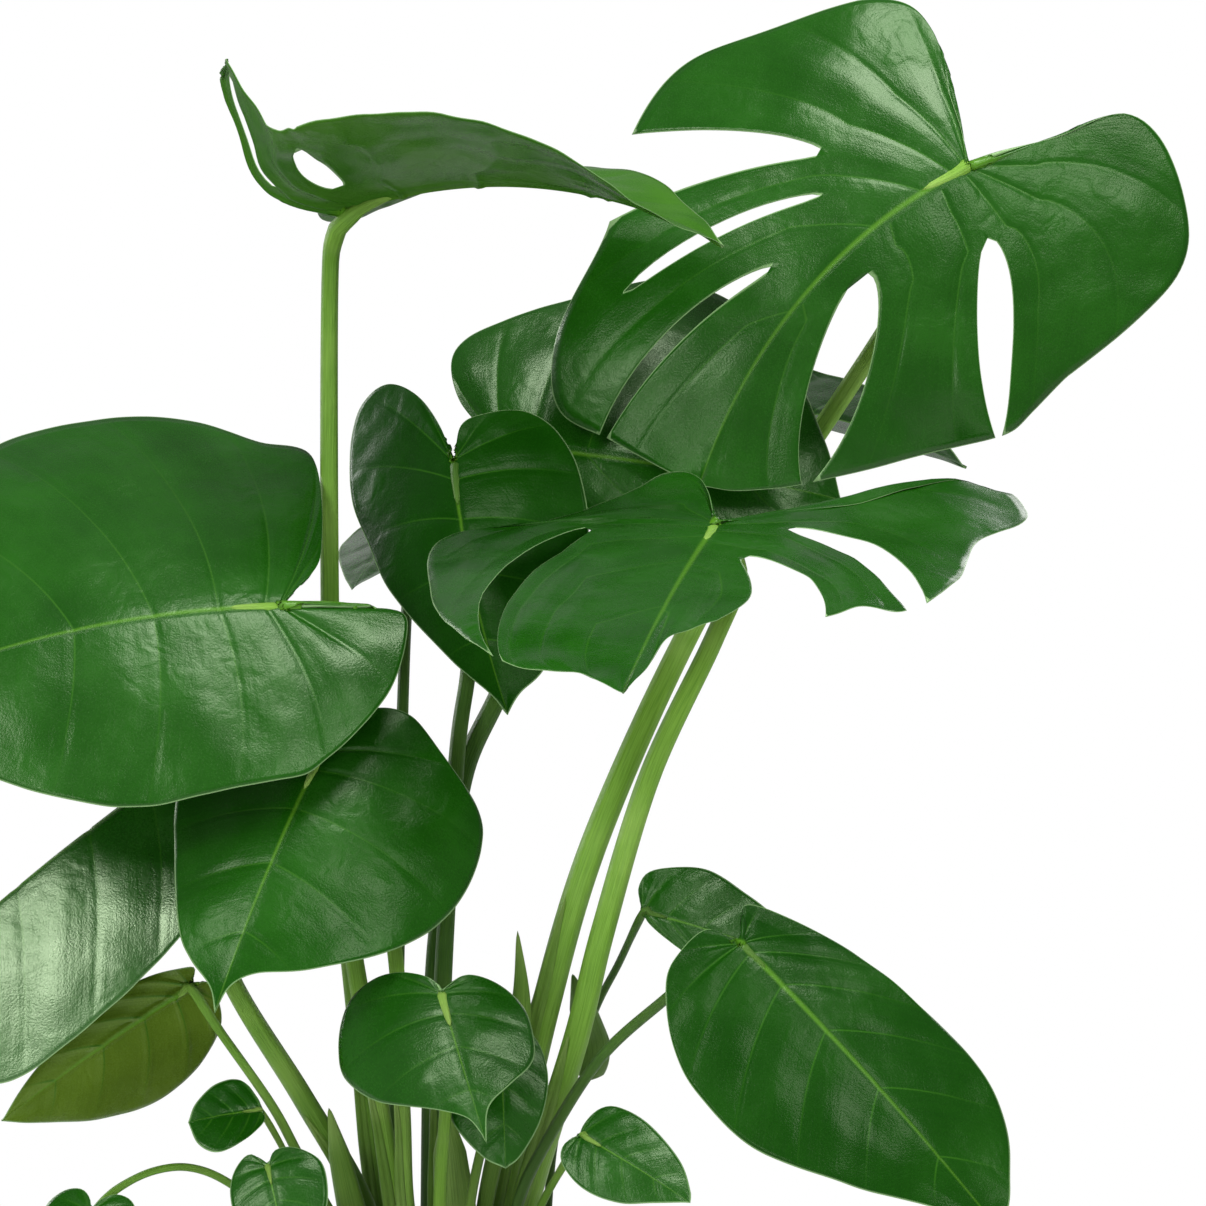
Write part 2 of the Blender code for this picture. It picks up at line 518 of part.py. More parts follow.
        "right": [(0, 0), (-0.11, 0.03), (-0.26, 0.21), (-0.32, 0.42), (-0.25, 0.65), (-0.03, 0.79),
                  (0.22, 0.80), (0.51, 0.60), (0.72, 0.22), (0.82, 0.07), (0.92, 0.02), (1, 0)],
        "left": [(0, 0), (-0.04, 0.07), (-0.09, 0.21), (0.01, 0.38), (0.22, 0.49), (0.48, 0.48),
                 (0.61, 0.41), (0.70, 0.25), (0.80, 0.08), (1, 0)],
        "fold": (-10, -10), "curl": (-18, -18), "droop": 32,
        "stalk": [(0, -44), (-1, -52, 273), (3, -76, 333), (2, -90, 376)],
        "stalk_radius": (4, 3), "columns": 14},
    "front_centre_low": {
        "joint": (32, -58, 365), "tip": (35, -75, 296), "face": (0, -0.9, 0.3),
        "right": [(0, 0), (-0.09, 0.15), (0.01, 0.34), (0.27, 0.47), (0.62, 0.40), (0.90, 0.18), (1, 0)],
        "left": [(0, 0), (-0.08, 0.16), (0.08, 0.30), (0.35, 0.35), (0.65, 0.28), (0.91, 0.12), (1, 0)],
        "fold": (-6, -6), "curl": (-10, -10), "droop": 15,
        "stalk": [(14, -38), (15, -40, 271), (28, -46, 331), (31, -50, 352)],
        "stalk_radius": (3, 2.4), "columns": 10},
    "low_left_pale": {
        "joint": (-138, -30, 390), "tip": (-238, -50, 319), "face": (0.2, 0.7, 0.6),
        "right": [(0, 0), (-0.07, 0.03), (-0.07, 0.17), (0, 0.34), (0.19, 0.48), (0.43, 0.51),
                  (0.66, 0.36), (0.88, 0.14), (1, 0)],
        "left": [(0, 0), (-0.06, 0.06), (0.09, 0.12), (0.30, 0.15), (0.60, 0.12), (0.85, 0.06), (1, 0)],
        "fold": (10, 25), "curl": (10, 10), "droop": 10,
        "stalk": [(-44, -20), (-51, -30, 246), (-77, -34, 296), (-93, -36, 326), (-121, -36, 366)],
        "stalk_radius": (3, 2.4)},
    "low_left_small": {
        "joint": (-97, -50, 325), "tip": (-136, -60, 319), "face": (-0.1, -0.8, 0.5),
        "right": [(0, 0), (0.02, 0.17), (0.20, 0.46), (0.54, 0.44), (0.84, 0.24), (1, 0)],
        "left": [(0, 0), (0.02, 0.20), (0.38, 0.46), (0.72, 0.55), (0.94, 0.36), (1, 0)],
        "fold": (4, 4), "droop": 20,
        "stalk": [(-47, -7), (-53, -16, 239), (-75, -28, 278), (-89, -38, 307)],
        "stalk_radius": (2, 1.6), "columns": 8},
    "low_front_left": {
        "joint": (-92, -80, 298), "tip": (-79, -100, 251), "face": (-0.1, -0.9, 0.35),
        "right": [(0, 0), (-0.18, 0.15), (-0.07, 0.34), (0.17, 0.44), (0.57, 0.42), (0.86, 0.22), (1, 0)],
        "left": [(0, 0), (-0.15, 0.11), (-0.14, 0.31), (0.05, 0.53), (0.35, 0.55), (0.65, 0.45),
                 (0.92, 0.20), (1, 0)],
        "fold": (-4, -4), "curl": (-10, -10), "droop": 20,
        "stalk": [(-56, -44), (-71, -52, 244), (-86, -68, 278)],
        "stalk_radius": (2, 1.6), "columns": 8},
    "low_left_edge": {
        "joint": (-189, -60, 271), "tip": (-202, -80, 226), "face": (-0.3, -0.8, 0.5),
        "fold": (-4, -4), "droop": 20,
        "stalk": [(-66, -24), (-84, -42, 259), (-113, -50, 284), (-135, -48, 293), (-156, -46, 291),
                  (-176, -46, 281)],
        "stalk_radius": (2.5, 2), "columns": 8},
    "rolled_young": {
        "joint": (76, 20, 334), "tip": (70, 25, 386), "face": (0, -1, 0.1),
        "right": YOUNG, "left": YOUNG, "fold": (62, 62), "curl": (40, 40),
        "stalk": [(36, 36), (46, 32, 288), (57, 30, 314), (68, 28, 326)],
        "stalk_radius": (3, 2.4), "columns": 8},
}

SHEATHS = {
    "sheath_centre": {"route": [(8, -16), (8, -16, 240), (4, -18, 290), (1, -20, 325)],
                      "radii": (10, 1)},
    "sheath_left": {"route": [(-34, -18), (-40, -18, 230), (-50, -18, 266), (-63, -15, 322)],
                    "radii": (5, 0.8)},
    "sheath_right": {"route": [(14, -4), (22, -4, 266), (38, -2, 340), (42, -1, 380), (40, 0, 418)],
                     "radii": (3.6, 0.6)},
}


# ---------------------------------------------------------------- the whole plant
GREEN = (0.02, 0.13, 0.02)
GREEN_OF = {"top_left": (0.10, 0.22, 0.06), "low_left_pale": (0.20, 0.32, 0.05)}
STALK_GREEN = (0.16, 0.30, 0.07)
SHEATH_GREEN = (0.30, 0.42, 0.10)


def main():
    for made in list(bpy.data.objects):
        bpy.data.objects.remove(made, do_unlink=True)
    add_pot(material("pot_plastic", (0.035, 0.037, 0.04), 0.5))
    add_soil(material("potting_mix", (0.045, 0.028, 0.018), 0.95))
    for name, given in LEAVES.items():
        leaf = {**DEFAULTS, **given}
        add_blade(f"leaf_{name}", leaf, material(f"leaf_{name}", GREEN_OF.get(name, GREEN), 0.4))
        add_stalk(f"stalk_{name}", leaf, material(f"stalk_{name}", STALK_GREEN, 0.45))
    for name, sheath in SHEATHS.items():
        add_tapered(name, sheath["route"], sheath["radii"], SHEATH_POINTS,
                    material(name, SHEATH_GREEN, 0.5))


main()
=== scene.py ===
# %% [markdown]
# A potted Swiss cheese plant
# A young climbing plant in a plain nursery pot. Twenty leaves stand on long round stalks, and the
# bigger leaves are split between their side veins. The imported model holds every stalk, blade, sheath,
# the pot and the soil as plain solids in their places. This lesson makes a finer piece for each one.

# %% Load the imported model
import math
import random

import bmesh
import bpy
import numpy as np
from mathutils import Matrix, Vector, noise


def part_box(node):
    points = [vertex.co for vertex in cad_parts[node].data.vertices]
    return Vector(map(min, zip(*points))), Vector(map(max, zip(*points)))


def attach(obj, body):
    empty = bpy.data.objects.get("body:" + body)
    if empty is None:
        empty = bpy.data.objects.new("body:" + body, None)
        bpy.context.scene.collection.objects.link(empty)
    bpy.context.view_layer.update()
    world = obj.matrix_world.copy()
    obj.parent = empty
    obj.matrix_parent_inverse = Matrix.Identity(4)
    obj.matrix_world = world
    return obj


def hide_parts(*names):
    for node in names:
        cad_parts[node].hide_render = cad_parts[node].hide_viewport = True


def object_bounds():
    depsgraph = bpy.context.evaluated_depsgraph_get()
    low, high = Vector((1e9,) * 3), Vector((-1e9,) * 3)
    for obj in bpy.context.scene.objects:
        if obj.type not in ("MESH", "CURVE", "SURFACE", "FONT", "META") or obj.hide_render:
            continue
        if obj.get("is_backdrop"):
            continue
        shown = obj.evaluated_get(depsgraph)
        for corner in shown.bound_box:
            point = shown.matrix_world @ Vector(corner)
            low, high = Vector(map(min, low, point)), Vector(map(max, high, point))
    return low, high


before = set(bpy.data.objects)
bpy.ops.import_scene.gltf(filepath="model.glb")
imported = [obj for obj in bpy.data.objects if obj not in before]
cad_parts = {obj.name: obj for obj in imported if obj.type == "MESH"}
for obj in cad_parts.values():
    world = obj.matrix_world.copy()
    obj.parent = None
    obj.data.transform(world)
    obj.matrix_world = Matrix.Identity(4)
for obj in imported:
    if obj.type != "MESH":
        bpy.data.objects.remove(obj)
cad_low, cad_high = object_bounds()
MM = 0.001
print("solids:", len(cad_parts), "size in mm:", [round(v / MM) for v in cad_high - cad_low])

# %% [markdown]
# The camera
# A long lens looks level at the middle of the foliage, because the plant was seen from far enough away
# that near leaves hardly look bigger than far ones. The pot stays just below the camera's view.

# %% Camera
CAMERA_PLACE = (0.087, -2.6, 0.598)
CAMERA_LENS = 141.1

bpy.ops.object.camera_add(location=CAMERA_PLACE, rotation=(math.radians(90), 0, 0))
camera = bpy.context.object
camera.name = "camera"
camera.data.lens = CAMERA_LENS
camera.data.clip_end = 60
bpy.context.scene.camera = camera
print("camera", tuple(round(v, 3) for v in camera.location))

# %% [markdown]
# The white backdrop
# The camera sees a white world. The plant itself gets only a part of that white, because a leaf with
# full white all round it looks grey. A Light Path node tells the two apart.

# %% White backdrop
ROOM_LIGHT = 0.37        # the share of the white backdrop that lights the plant

bpy.context.scene.view_settings.view_transform = "Standard"
world = bpy.data.worlds.new("white studio")
bpy.context.scene.world = world
world.use_nodes = True
backdrop = world.node_tree.nodes["Background"]
backdrop.inputs["Color"].default_value = (1, 1, 1, 1)
sight = world.node_tree.nodes.new("ShaderNodeLightPath")
strength = world.node_tree.nodes.new("ShaderNodeMapRange")
world.node_tree.links.new(sight.outputs["Is Camera Ray"], strength.inputs["Value"])
strength.inputs["To Min"].default_value = ROOM_LIGHT
strength.inputs["To Max"].default_value = 1.0
world.node_tree.links.new(strength.outputs["Result"], backdrop.inputs["Strength"])
print("room light:", ROOM_LIGHT)

# %% [markdown]
# Soft panels
# Lamps could be points or suns, but a waxy leaf shows the shape of its lamp. Big square area lights
# give the broad soft highlights of a studio. Each one is turned to face the plant.

# %% Panels

def add_panel(name, place, aim, size, power):
    """A square soft light at place, turned to face aim."""
    turn = (Vector(aim) - Vector(place)).to_track_quat("-Z", "Y").to_euler()
    bpy.ops.object.light_add(type="AREA", location=place, rotation=turn)
    panel = bpy.context.object
    panel.name = name
    panel.data.shape = "SQUARE"
    panel.data.size = size
    panel.data.energy = power
    panel.visible_camera = False


FOLIAGE = (0.0, 0.0, 0.6)
add_panel("top panel", (0.5, -0.8, 2.8), FOLIAGE, 0.9, 50)
add_panel("left panel", (-1.2, -1.9, 1.75), FOLIAGE, 0.8, 31)
add_panel("low left panel", (-0.65, -2.35, 0.55), (0.1, 0.0, 0.6), 0.5, 9)
add_panel("right panel", (1.1, -1.8, 1.75), FOLIAGE, 0.6, 15)
add_panel("back left panel", (-2.3, 2.0, 1.5), FOLIAGE, 1.1, 40)
add_panel("back panel", (1.6, 2.4, 1.8), FOLIAGE, 1.2, 16)

# %% [markdown]
# The floor
# A wide pale disc catches the pot's shadow. It lies a hair under the pot so that the two don't share
# one plane, and it is kept apart from the plant's own pieces.

# %% Floor
FLOOR_RADIUS = 1.9
FLOOR_DROP = 0.0006

bpy.ops.mesh.primitive_circle_add(vertices=96, radius=FLOOR_RADIUS, fill_type="NGON",
                                  location=(0, 0, -FLOOR_DROP))
floor = bpy.context.object
floor.name = "floor"
bpy.ops.object.transform_apply(location=True)
floor_paint = bpy.data.materials.new("pale floor")
floor_paint.use_nodes = True
floor_shader = floor_paint.node_tree.nodes["Principled BSDF"]
floor_shader.inputs["Base Color"].default_value = (0.93, 0.93, 0.93, 1)
floor_shader.inputs["Roughness"].default_value = 0.9
floor.data.materials.append(floor_paint)
floor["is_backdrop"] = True
print("floor across:", 2 * FLOOR_RADIUS, "m")

# %% [markdown]
# Helpers for materials: where a pattern sits
# Every finish below is built from the same few nodes. The first helpers start a material and say where
# a pattern sits, always in the piece's own coordinates or in one of its UV layers.

# %% Place and noise
def new_finish(name):
    """A material with its node tree, its Principled shader and nothing else decided."""
    finish = bpy.data.materials.new(name)
    finish.use_nodes = True
    return finish, finish.node_tree, finish.node_tree.nodes["Principled BSDF"]


def put(socket, value):
    """Links value if it is an output, and otherwise types it in."""
    if isinstance(value, bpy.types.NodeSocket):
        socket.id_data.links.new(value, socket)
    else:
        socket.default_value = value


def place_on(tree, layer=None):
    """Where the shaded point is: on the object, or in one of its UV layers."""
    if layer:
        node = tree.nodes.new("ShaderNodeUVMap")
        node.uv_map = layer
        return node.outputs["UV"]
    return tree.nodes.new("ShaderNodeTexCoord").outputs["Object"]


def stretched(tree, place, scale):
    """The same place with each axis scaled, which draws a pattern out along the smaller ones."""
    node = tree.nodes.new("ShaderNodeMapping")
    put(node.inputs["Vector"], place)
    node.inputs["Scale"].default_value = scale
    return node.outputs["Vector"]


def cloudy(tree, place, scale, detail=3.0, roughness=0.5, distortion=0.0):
    """Soft noise from 0 to 1."""
    node = tree.nodes.new("ShaderNodeTexNoise")
    put(node.inputs["Vector"], place)
    node.inputs["Scale"].default_value = scale
    node.inputs["Detail"].default_value = detail
    node.inputs["Roughness"].default_value = roughness
    node.inputs["Distortion"].default_value = distortion
    return node.outputs["Fac"]


_, tried_tree, _ = new_finish("tried finish")
print("a noise pattern comes out of:", cloudy(tried_tree, place_on(tried_tree), 10.0).node.name)

# %% [markdown]
# Helpers for materials: mixing and relief
# The other helpers turn one number into another, mix two colours and raise a bump.

# %% Mixing and relief nodes
def ramp(tree, value, low, high, from_value=0.0, to_value=1.0, smooth=True):
    """Turns low..high of a value into from_value..to_value, held beyond its ends."""
    node = tree.nodes.new("ShaderNodeMapRange")
    node.interpolation_type = "SMOOTHSTEP" if smooth else "LINEAR"
    for socket, given in zip(node.inputs, (value, low, high, from_value, to_value)):
        put(socket, given)
    return node.outputs["Result"]


def maths(tree, operation, a, b=0.0):
    """One sum on two values."""
    node = tree.nodes.new("ShaderNodeMath")
    node.operation = operation
    put(node.inputs[0], a)
    put(node.inputs[1], b)
    return node.outputs["Value"]


def blended(tree, amount, first, second):
    """One colour going over into another by amount."""
    node = tree.nodes.new("ShaderNodeMix")
    node.data_type = "RGBA"
    put(node.inputs["Factor"], amount)
    for socket, colour in ((node.inputs[6], first), (node.inputs[7], second)):
        put(socket, colour if isinstance(colour, bpy.types.NodeSocket) else (*colour, 1))
    return node.outputs[2]


def raised(tree, shader, height, distance):
    """Bumps the surface by a height from 0 to 1."""
    node = tree.nodes.new("ShaderNodeBump")
    put(node.inputs["Height"], height)
    node.inputs["Distance"].default_value = distance
    node.inputs["Strength"].default_value = 1.0
    put(shader.inputs["Normal"], node.outputs["Normal"])


def split(tree, vector):
    """The first and second number of a vector."""
    node = tree.nodes.new("ShaderNodeSeparateXYZ")
    put(node.inputs["Vector"], vector)
    return node.outputs["X"], node.outputs["Y"]


tried_colour = blended(tried_tree, ramp(tried_tree, 0.5, 0.0, 1.0), (0, 0, 0), (1, 1, 1))
print("nodes in the tried finish:", len(tried_tree.nodes), "ending in", tried_colour.node.name)
bpy.data.materials.remove(bpy.data.materials["tried finish"])

# %% [markdown]
# Smooth lines
# Outlines and stalks are given by a few points each. A Catmull-Rom curve runs through all of them, and
# it is then cut into even steps. A Bezier object would do too, but numbers are easier to build on.

# %% Smooth lines
KNOT_STEPS = 13          # points of the curve from one given point to the next


def smooth_line(points, count):
    """count evenly spaced points of a smooth curve through the given points."""
    knots = np.array(points, float)
    knots = np.vstack([2 * knots[0] - knots[1], knots, 2 * knots[-1] - knots[-2]])
    steps = np.linspace(0, 1, KNOT_STEPS)[:, None]
    dense = []
    for a, b, c, d in zip(knots, knots[1:], knots[2:], knots[3:]):
        dense.append(0.5 * (2 * b + (c - a) * steps + (2 * a - 5 * b + 4 * c - d) * steps**2
                            + (3 * b - a - 3 * c + d) * steps**3))
    dense = np.vstack(dense)
    length = np.concatenate([[0], np.cumsum(np.linalg.norm(np.diff(dense, axis=0), axis=1))])
    wanted = np.linspace(0, length[-1], count)
    return np.stack([np.interp(wanted, length, axis) for axis in dense.T], axis=1)


print("an arch through 3 points:", smooth_line([(0, 0), (1, 1), (2, 0)], 5).round(2).tolist())

# %% [markdown]
# The shape of one blade
# A blade is a flat outline that folds along its midrib, curls at its sides and droops at its tip. Its
# side veins leave the midrib and bow out to the margin, and it splits between them. So the blade is
# described by two numbers: the place round the margin, from the notch to the tip, and the reach from
# the midrib to the margin. A grid laid out in these two follows the veins by itself.

# %% Bent blade
BACK_REACH = 0.5         # how far behind the stalk a blade may run, in lengths of its midrib
MIDRIB_STEPS = 120       # steps that the midrib's curve is added up in, from back lobe to tip
LOBE_LENGTH = 0.3        # behind the stalk, in lengths: where a back lobe has turned up fully
CURL_REACH = 0.5         # out from the midrib, in lengths: where a side's curl is given
STRAIGHT = 1e-4          # radians: less curl than this counts as this much


def midrib_frame(leaf, along):
    """Centre, across, forward and up of the midrib at each place along it, in lengths."""
    steps = np.linspace(-BACK_REACH, 1.0, MIDRIB_STEPS + 1)
    ahead = np.clip(steps, 0, None)
    behind = np.clip(-steps, 0, None)
    pitch = -np.radians(leaf["droop"]) * ahead ** leaf["droop_power"]
    pitch = pitch - np.radians(leaf["lift"]) * np.clip(behind / LOBE_LENGTH, 0, 1)
    heading = np.radians(leaf["sweep"]) * ahead
    roll = np.radians(leaf["twist"]) * ahead
    forward = np.stack([np.sin(heading) * np.cos(pitch), np.cos(heading) * np.cos(pitch),
                        np.sin(pitch)], axis=1)
    level = np.stack([np.cos(heading), -np.sin(heading), 0 * heading], axis=1)
    upright = np.cross(level, forward)
    across = level * np.cos(roll)[:, None] + upright * np.sin(roll)[:, None]
    up = upright * np.cos(roll)[:, None] - level * np.sin(roll)[:, None]
    step = steps[1] - steps[0]
    moves = (forward[1:] + forward[:-1]) / 2 * step
    centre = np.concatenate([[[0, 0, 0]], np.cumsum(moves, axis=0)])
    centre -= centre[round(BACK_REACH / step)]
    return [np.stack([np.interp(along, steps, axis) for axis in line.T], axis=-1)
            for line in (centre, across, forward, up)]


def bent(leaf, along, out):
    """Where a point of the flat blade goes when the blade folds, curls and droops."""
    right = out >= 0
    reach = np.abs(out)
    fold = np.radians(np.where(right, *leaf["fold"]))
    curl = np.radians(np.where(right, *leaf["curl"])) / CURL_REACH
    curl = np.where(np.abs(curl) < STRAIGHT, STRAIGHT, curl)
    sideways = (np.sin(fold + curl * reach) - np.sin(fold)) / curl * np.where(right, 1, -1)
    rise = (np.cos(fold) - np.cos(fold + curl * reach)) / curl
    centre, across, _, up = midrib_frame(leaf, along)
    return centre + across * sideways[..., None] + up * rise[..., None], up


drooping = {"droop": 60, "droop_power": 1.0, "lift": 0, "sweep": 0, "twist": 0}
print("a midrib that droops by 60 degrees ends at",
      midrib_frame(drooping, np.array([1.0]))[0][0].round(2).tolist())

# %% [markdown]
# Veins and splits
# A side vein starts on the midrib and bows out to the margin. A split lies between two veins: it pushes
# the blade apart by its own width and so keeps the veins beside it in step with its lips.

# %% Veins and splits
MARGIN_POINTS = 193
NOTCH_SHARE = 0.3        # of the way round the margin: the back lobe, whose veins meet at the stalk
VEIN_BOW = 0.12          # how far a side vein bends toward the stalk, in lengths of the vein
HAIR = 1e-9              # tells the two lips of a split apart


def vein_point(outline, place, reach, vein_power):
    """A point of one flat side: place runs round the margin, reach from midrib to margin."""
    margin = smooth_line(outline, MARGIN_POINTS)
    shares = np.linspace(0, 1, MARGIN_POINTS)
    ends = np.stack([np.interp(place, shares, axis) for axis in margin.T], axis=-1)
    starts = np.zeros_like(ends)
    starts[..., 0] = np.clip((place - NOTCH_SHARE) / (1 - NOTCH_SHARE), 0, 1) ** vein_power
    length = np.linalg.norm(ends - starts, axis=-1)
    bow = VEIN_BOW * length * np.clip(place / NOTCH_SHARE, 0, 1)
    bows = (starts + ends) / 2
    bows[..., 0] -= bow
    r = reach[..., None]
    return (1 - r) ** 2 * starts + 2 * r * (1 - r) * bows + r**2 * ends


def cut_line(cut, reach):
    """Where a cut runs round the margin and half its width, at each reach from midrib to margin."""
    _, place, drift, inner, outer, half, closing = cut
    x = np.clip((reach - inner) / (outer - inner), 0, 1)
    if outer < 1:
        width = half * np.sqrt(4 * x * (1 - x))
    else:
        width = half * np.sqrt(x) * (1 - closing * x)
    return place + drift * np.clip((reach - inner) / (1 - inner), 0, 1), width


def opened(place, reach, cuts):
    """The margin places of one side after its cuts have pushed the blade apart."""
    still = 0 * reach
    edges = [(0.0, still, still), *[(cut[1], *cut_line(cut, reach)) for cut in cuts],
             (1.0, still + 1, still)]
    moved = place[:, :, 0] + still
    for (low, low_at, low_gap), (high, high_at, high_gap) in zip(edges, edges[1:]):
        share = (place[:, :, 0] - low) / (high - low)
        spread = low_at + low_gap + share * (high_at - high_gap - low_at - low_gap)
        lip = share + HAIR * place[:, :, 1]
        inside = (lip >= 0) & (lip < 1)
        inside |= (high == 1.0) & (share >= 1)
        moved = np.where(inside, spread, moved)
    return moved


middle = vein_point([(0, 0), (0.5, 0.5), (1, 0)], np.array([0.5]), np.array([0.5]), 1.0)
print("the middle of a vein half way round a plain arch:", middle[0].round(2).tolist())

# %% [markdown]
# Putting a blade in its place
# Every blade is shaped lying flat, with its stalk end at the origin. One matrix then turns it to face
# the right way and sizes it, so that its stalk end and its tip land on two given points.

# %% Placing a blade
def axes(forward, face):
    """A rotation whose Y is forward and whose Z is face, squared up to it."""
    y = forward.normalized()
    z = (face - face.dot(y) * y).normalized()
    return Matrix((y.cross(z), y, z)).transposed()


def place_matrix(leaf):
    """Turns lengths of the midrib into metres in the plant's frame, joint to joint, tip to tip."""
    joint, tip = Vector(leaf["joint"]) * MM, Vector(leaf["tip"]) * MM
    local_tip = Vector(midrib_frame(leaf, np.array([1.0]))[0][0])
    return (Matrix.Translation(joint) @ axes(tip - joint, Vector(leaf["face"])).to_4x4()
            @ axes(local_tip, Vector((0, 0, 1))).transposed().to_4x4()
            @ Matrix.Scale((tip - joint).length / local_tip.length, 4))


tried_turn = axes(Vector((0, 0, -1)), Vector((0, -1, 0)))
print("a blade that hangs and faces front has its right side toward", [round(v) for v in tried_turn.col[0]])

# %% [markdown]
# The twenty leaves
# Each leaf names where its stalk meets the blade, where its tip lies, which way its upper side looks,
# its outline and how it bends. The stalk is its place in the soil and the points that it passes.
# Lengths are millimetres, and outlines are in lengths of the leaf's own midrib.

# %% Outlines and defaults
HEART = [(0, 0), (-0.14, 0.05), (-0.25, 0.20), (-0.22, 0.40), (-0.04, 0.54),
         (0.22, 0.57), (0.50, 0.46), (0.74, 0.27), (0.91, 0.08), (1, 0)]
YOUNG = [(0, 0), (-0.12, 0.06), (-0.14, 0.20), (0.10, 0.34), (0.45, 0.30), (0.80, 0.13), (1, 0)]

DEFAULTS = {
    "right": HEART,       # outline to the right of the midrib, seen from above with the tip ahead
    "left": HEART,
    "fold": (0, 0),       # degrees that the right and left side rise from the midrib
    "curl": (0, 0),       # further degrees that each side turns up by half a length out
    "droop": 0,           # degrees that the midrib turns down between the stalk and the tip
    "droop_power": 1.0,   # over 1 keeps the base straight and bends the tip
    "lift": 0,            # degrees that the back lobes turn up behind the stalk
    "sweep": 0,           # degrees that the midrib turns to the right on its way to the tip
    "twist": 0,           # degrees that the blade rolls about its midrib on the way to the tip
    "vein_power": 1.5,    # over 1 gathers the side veins' starts near the stalk
    "splits": (),         # cuts between the side veins: side, place round the margin, drift of that
                          # place on the way out, inner and outer end from midrib 0 to margin 1,
                          # half width, and how far an open cut closes again at the margin
}
print("outline points:", len(HEART), len(YOUNG))

# %% [markdown]
# The list of leaves
# joint is where the stalk meets the blade, tip the blade's point, and face the way its upper side looks.

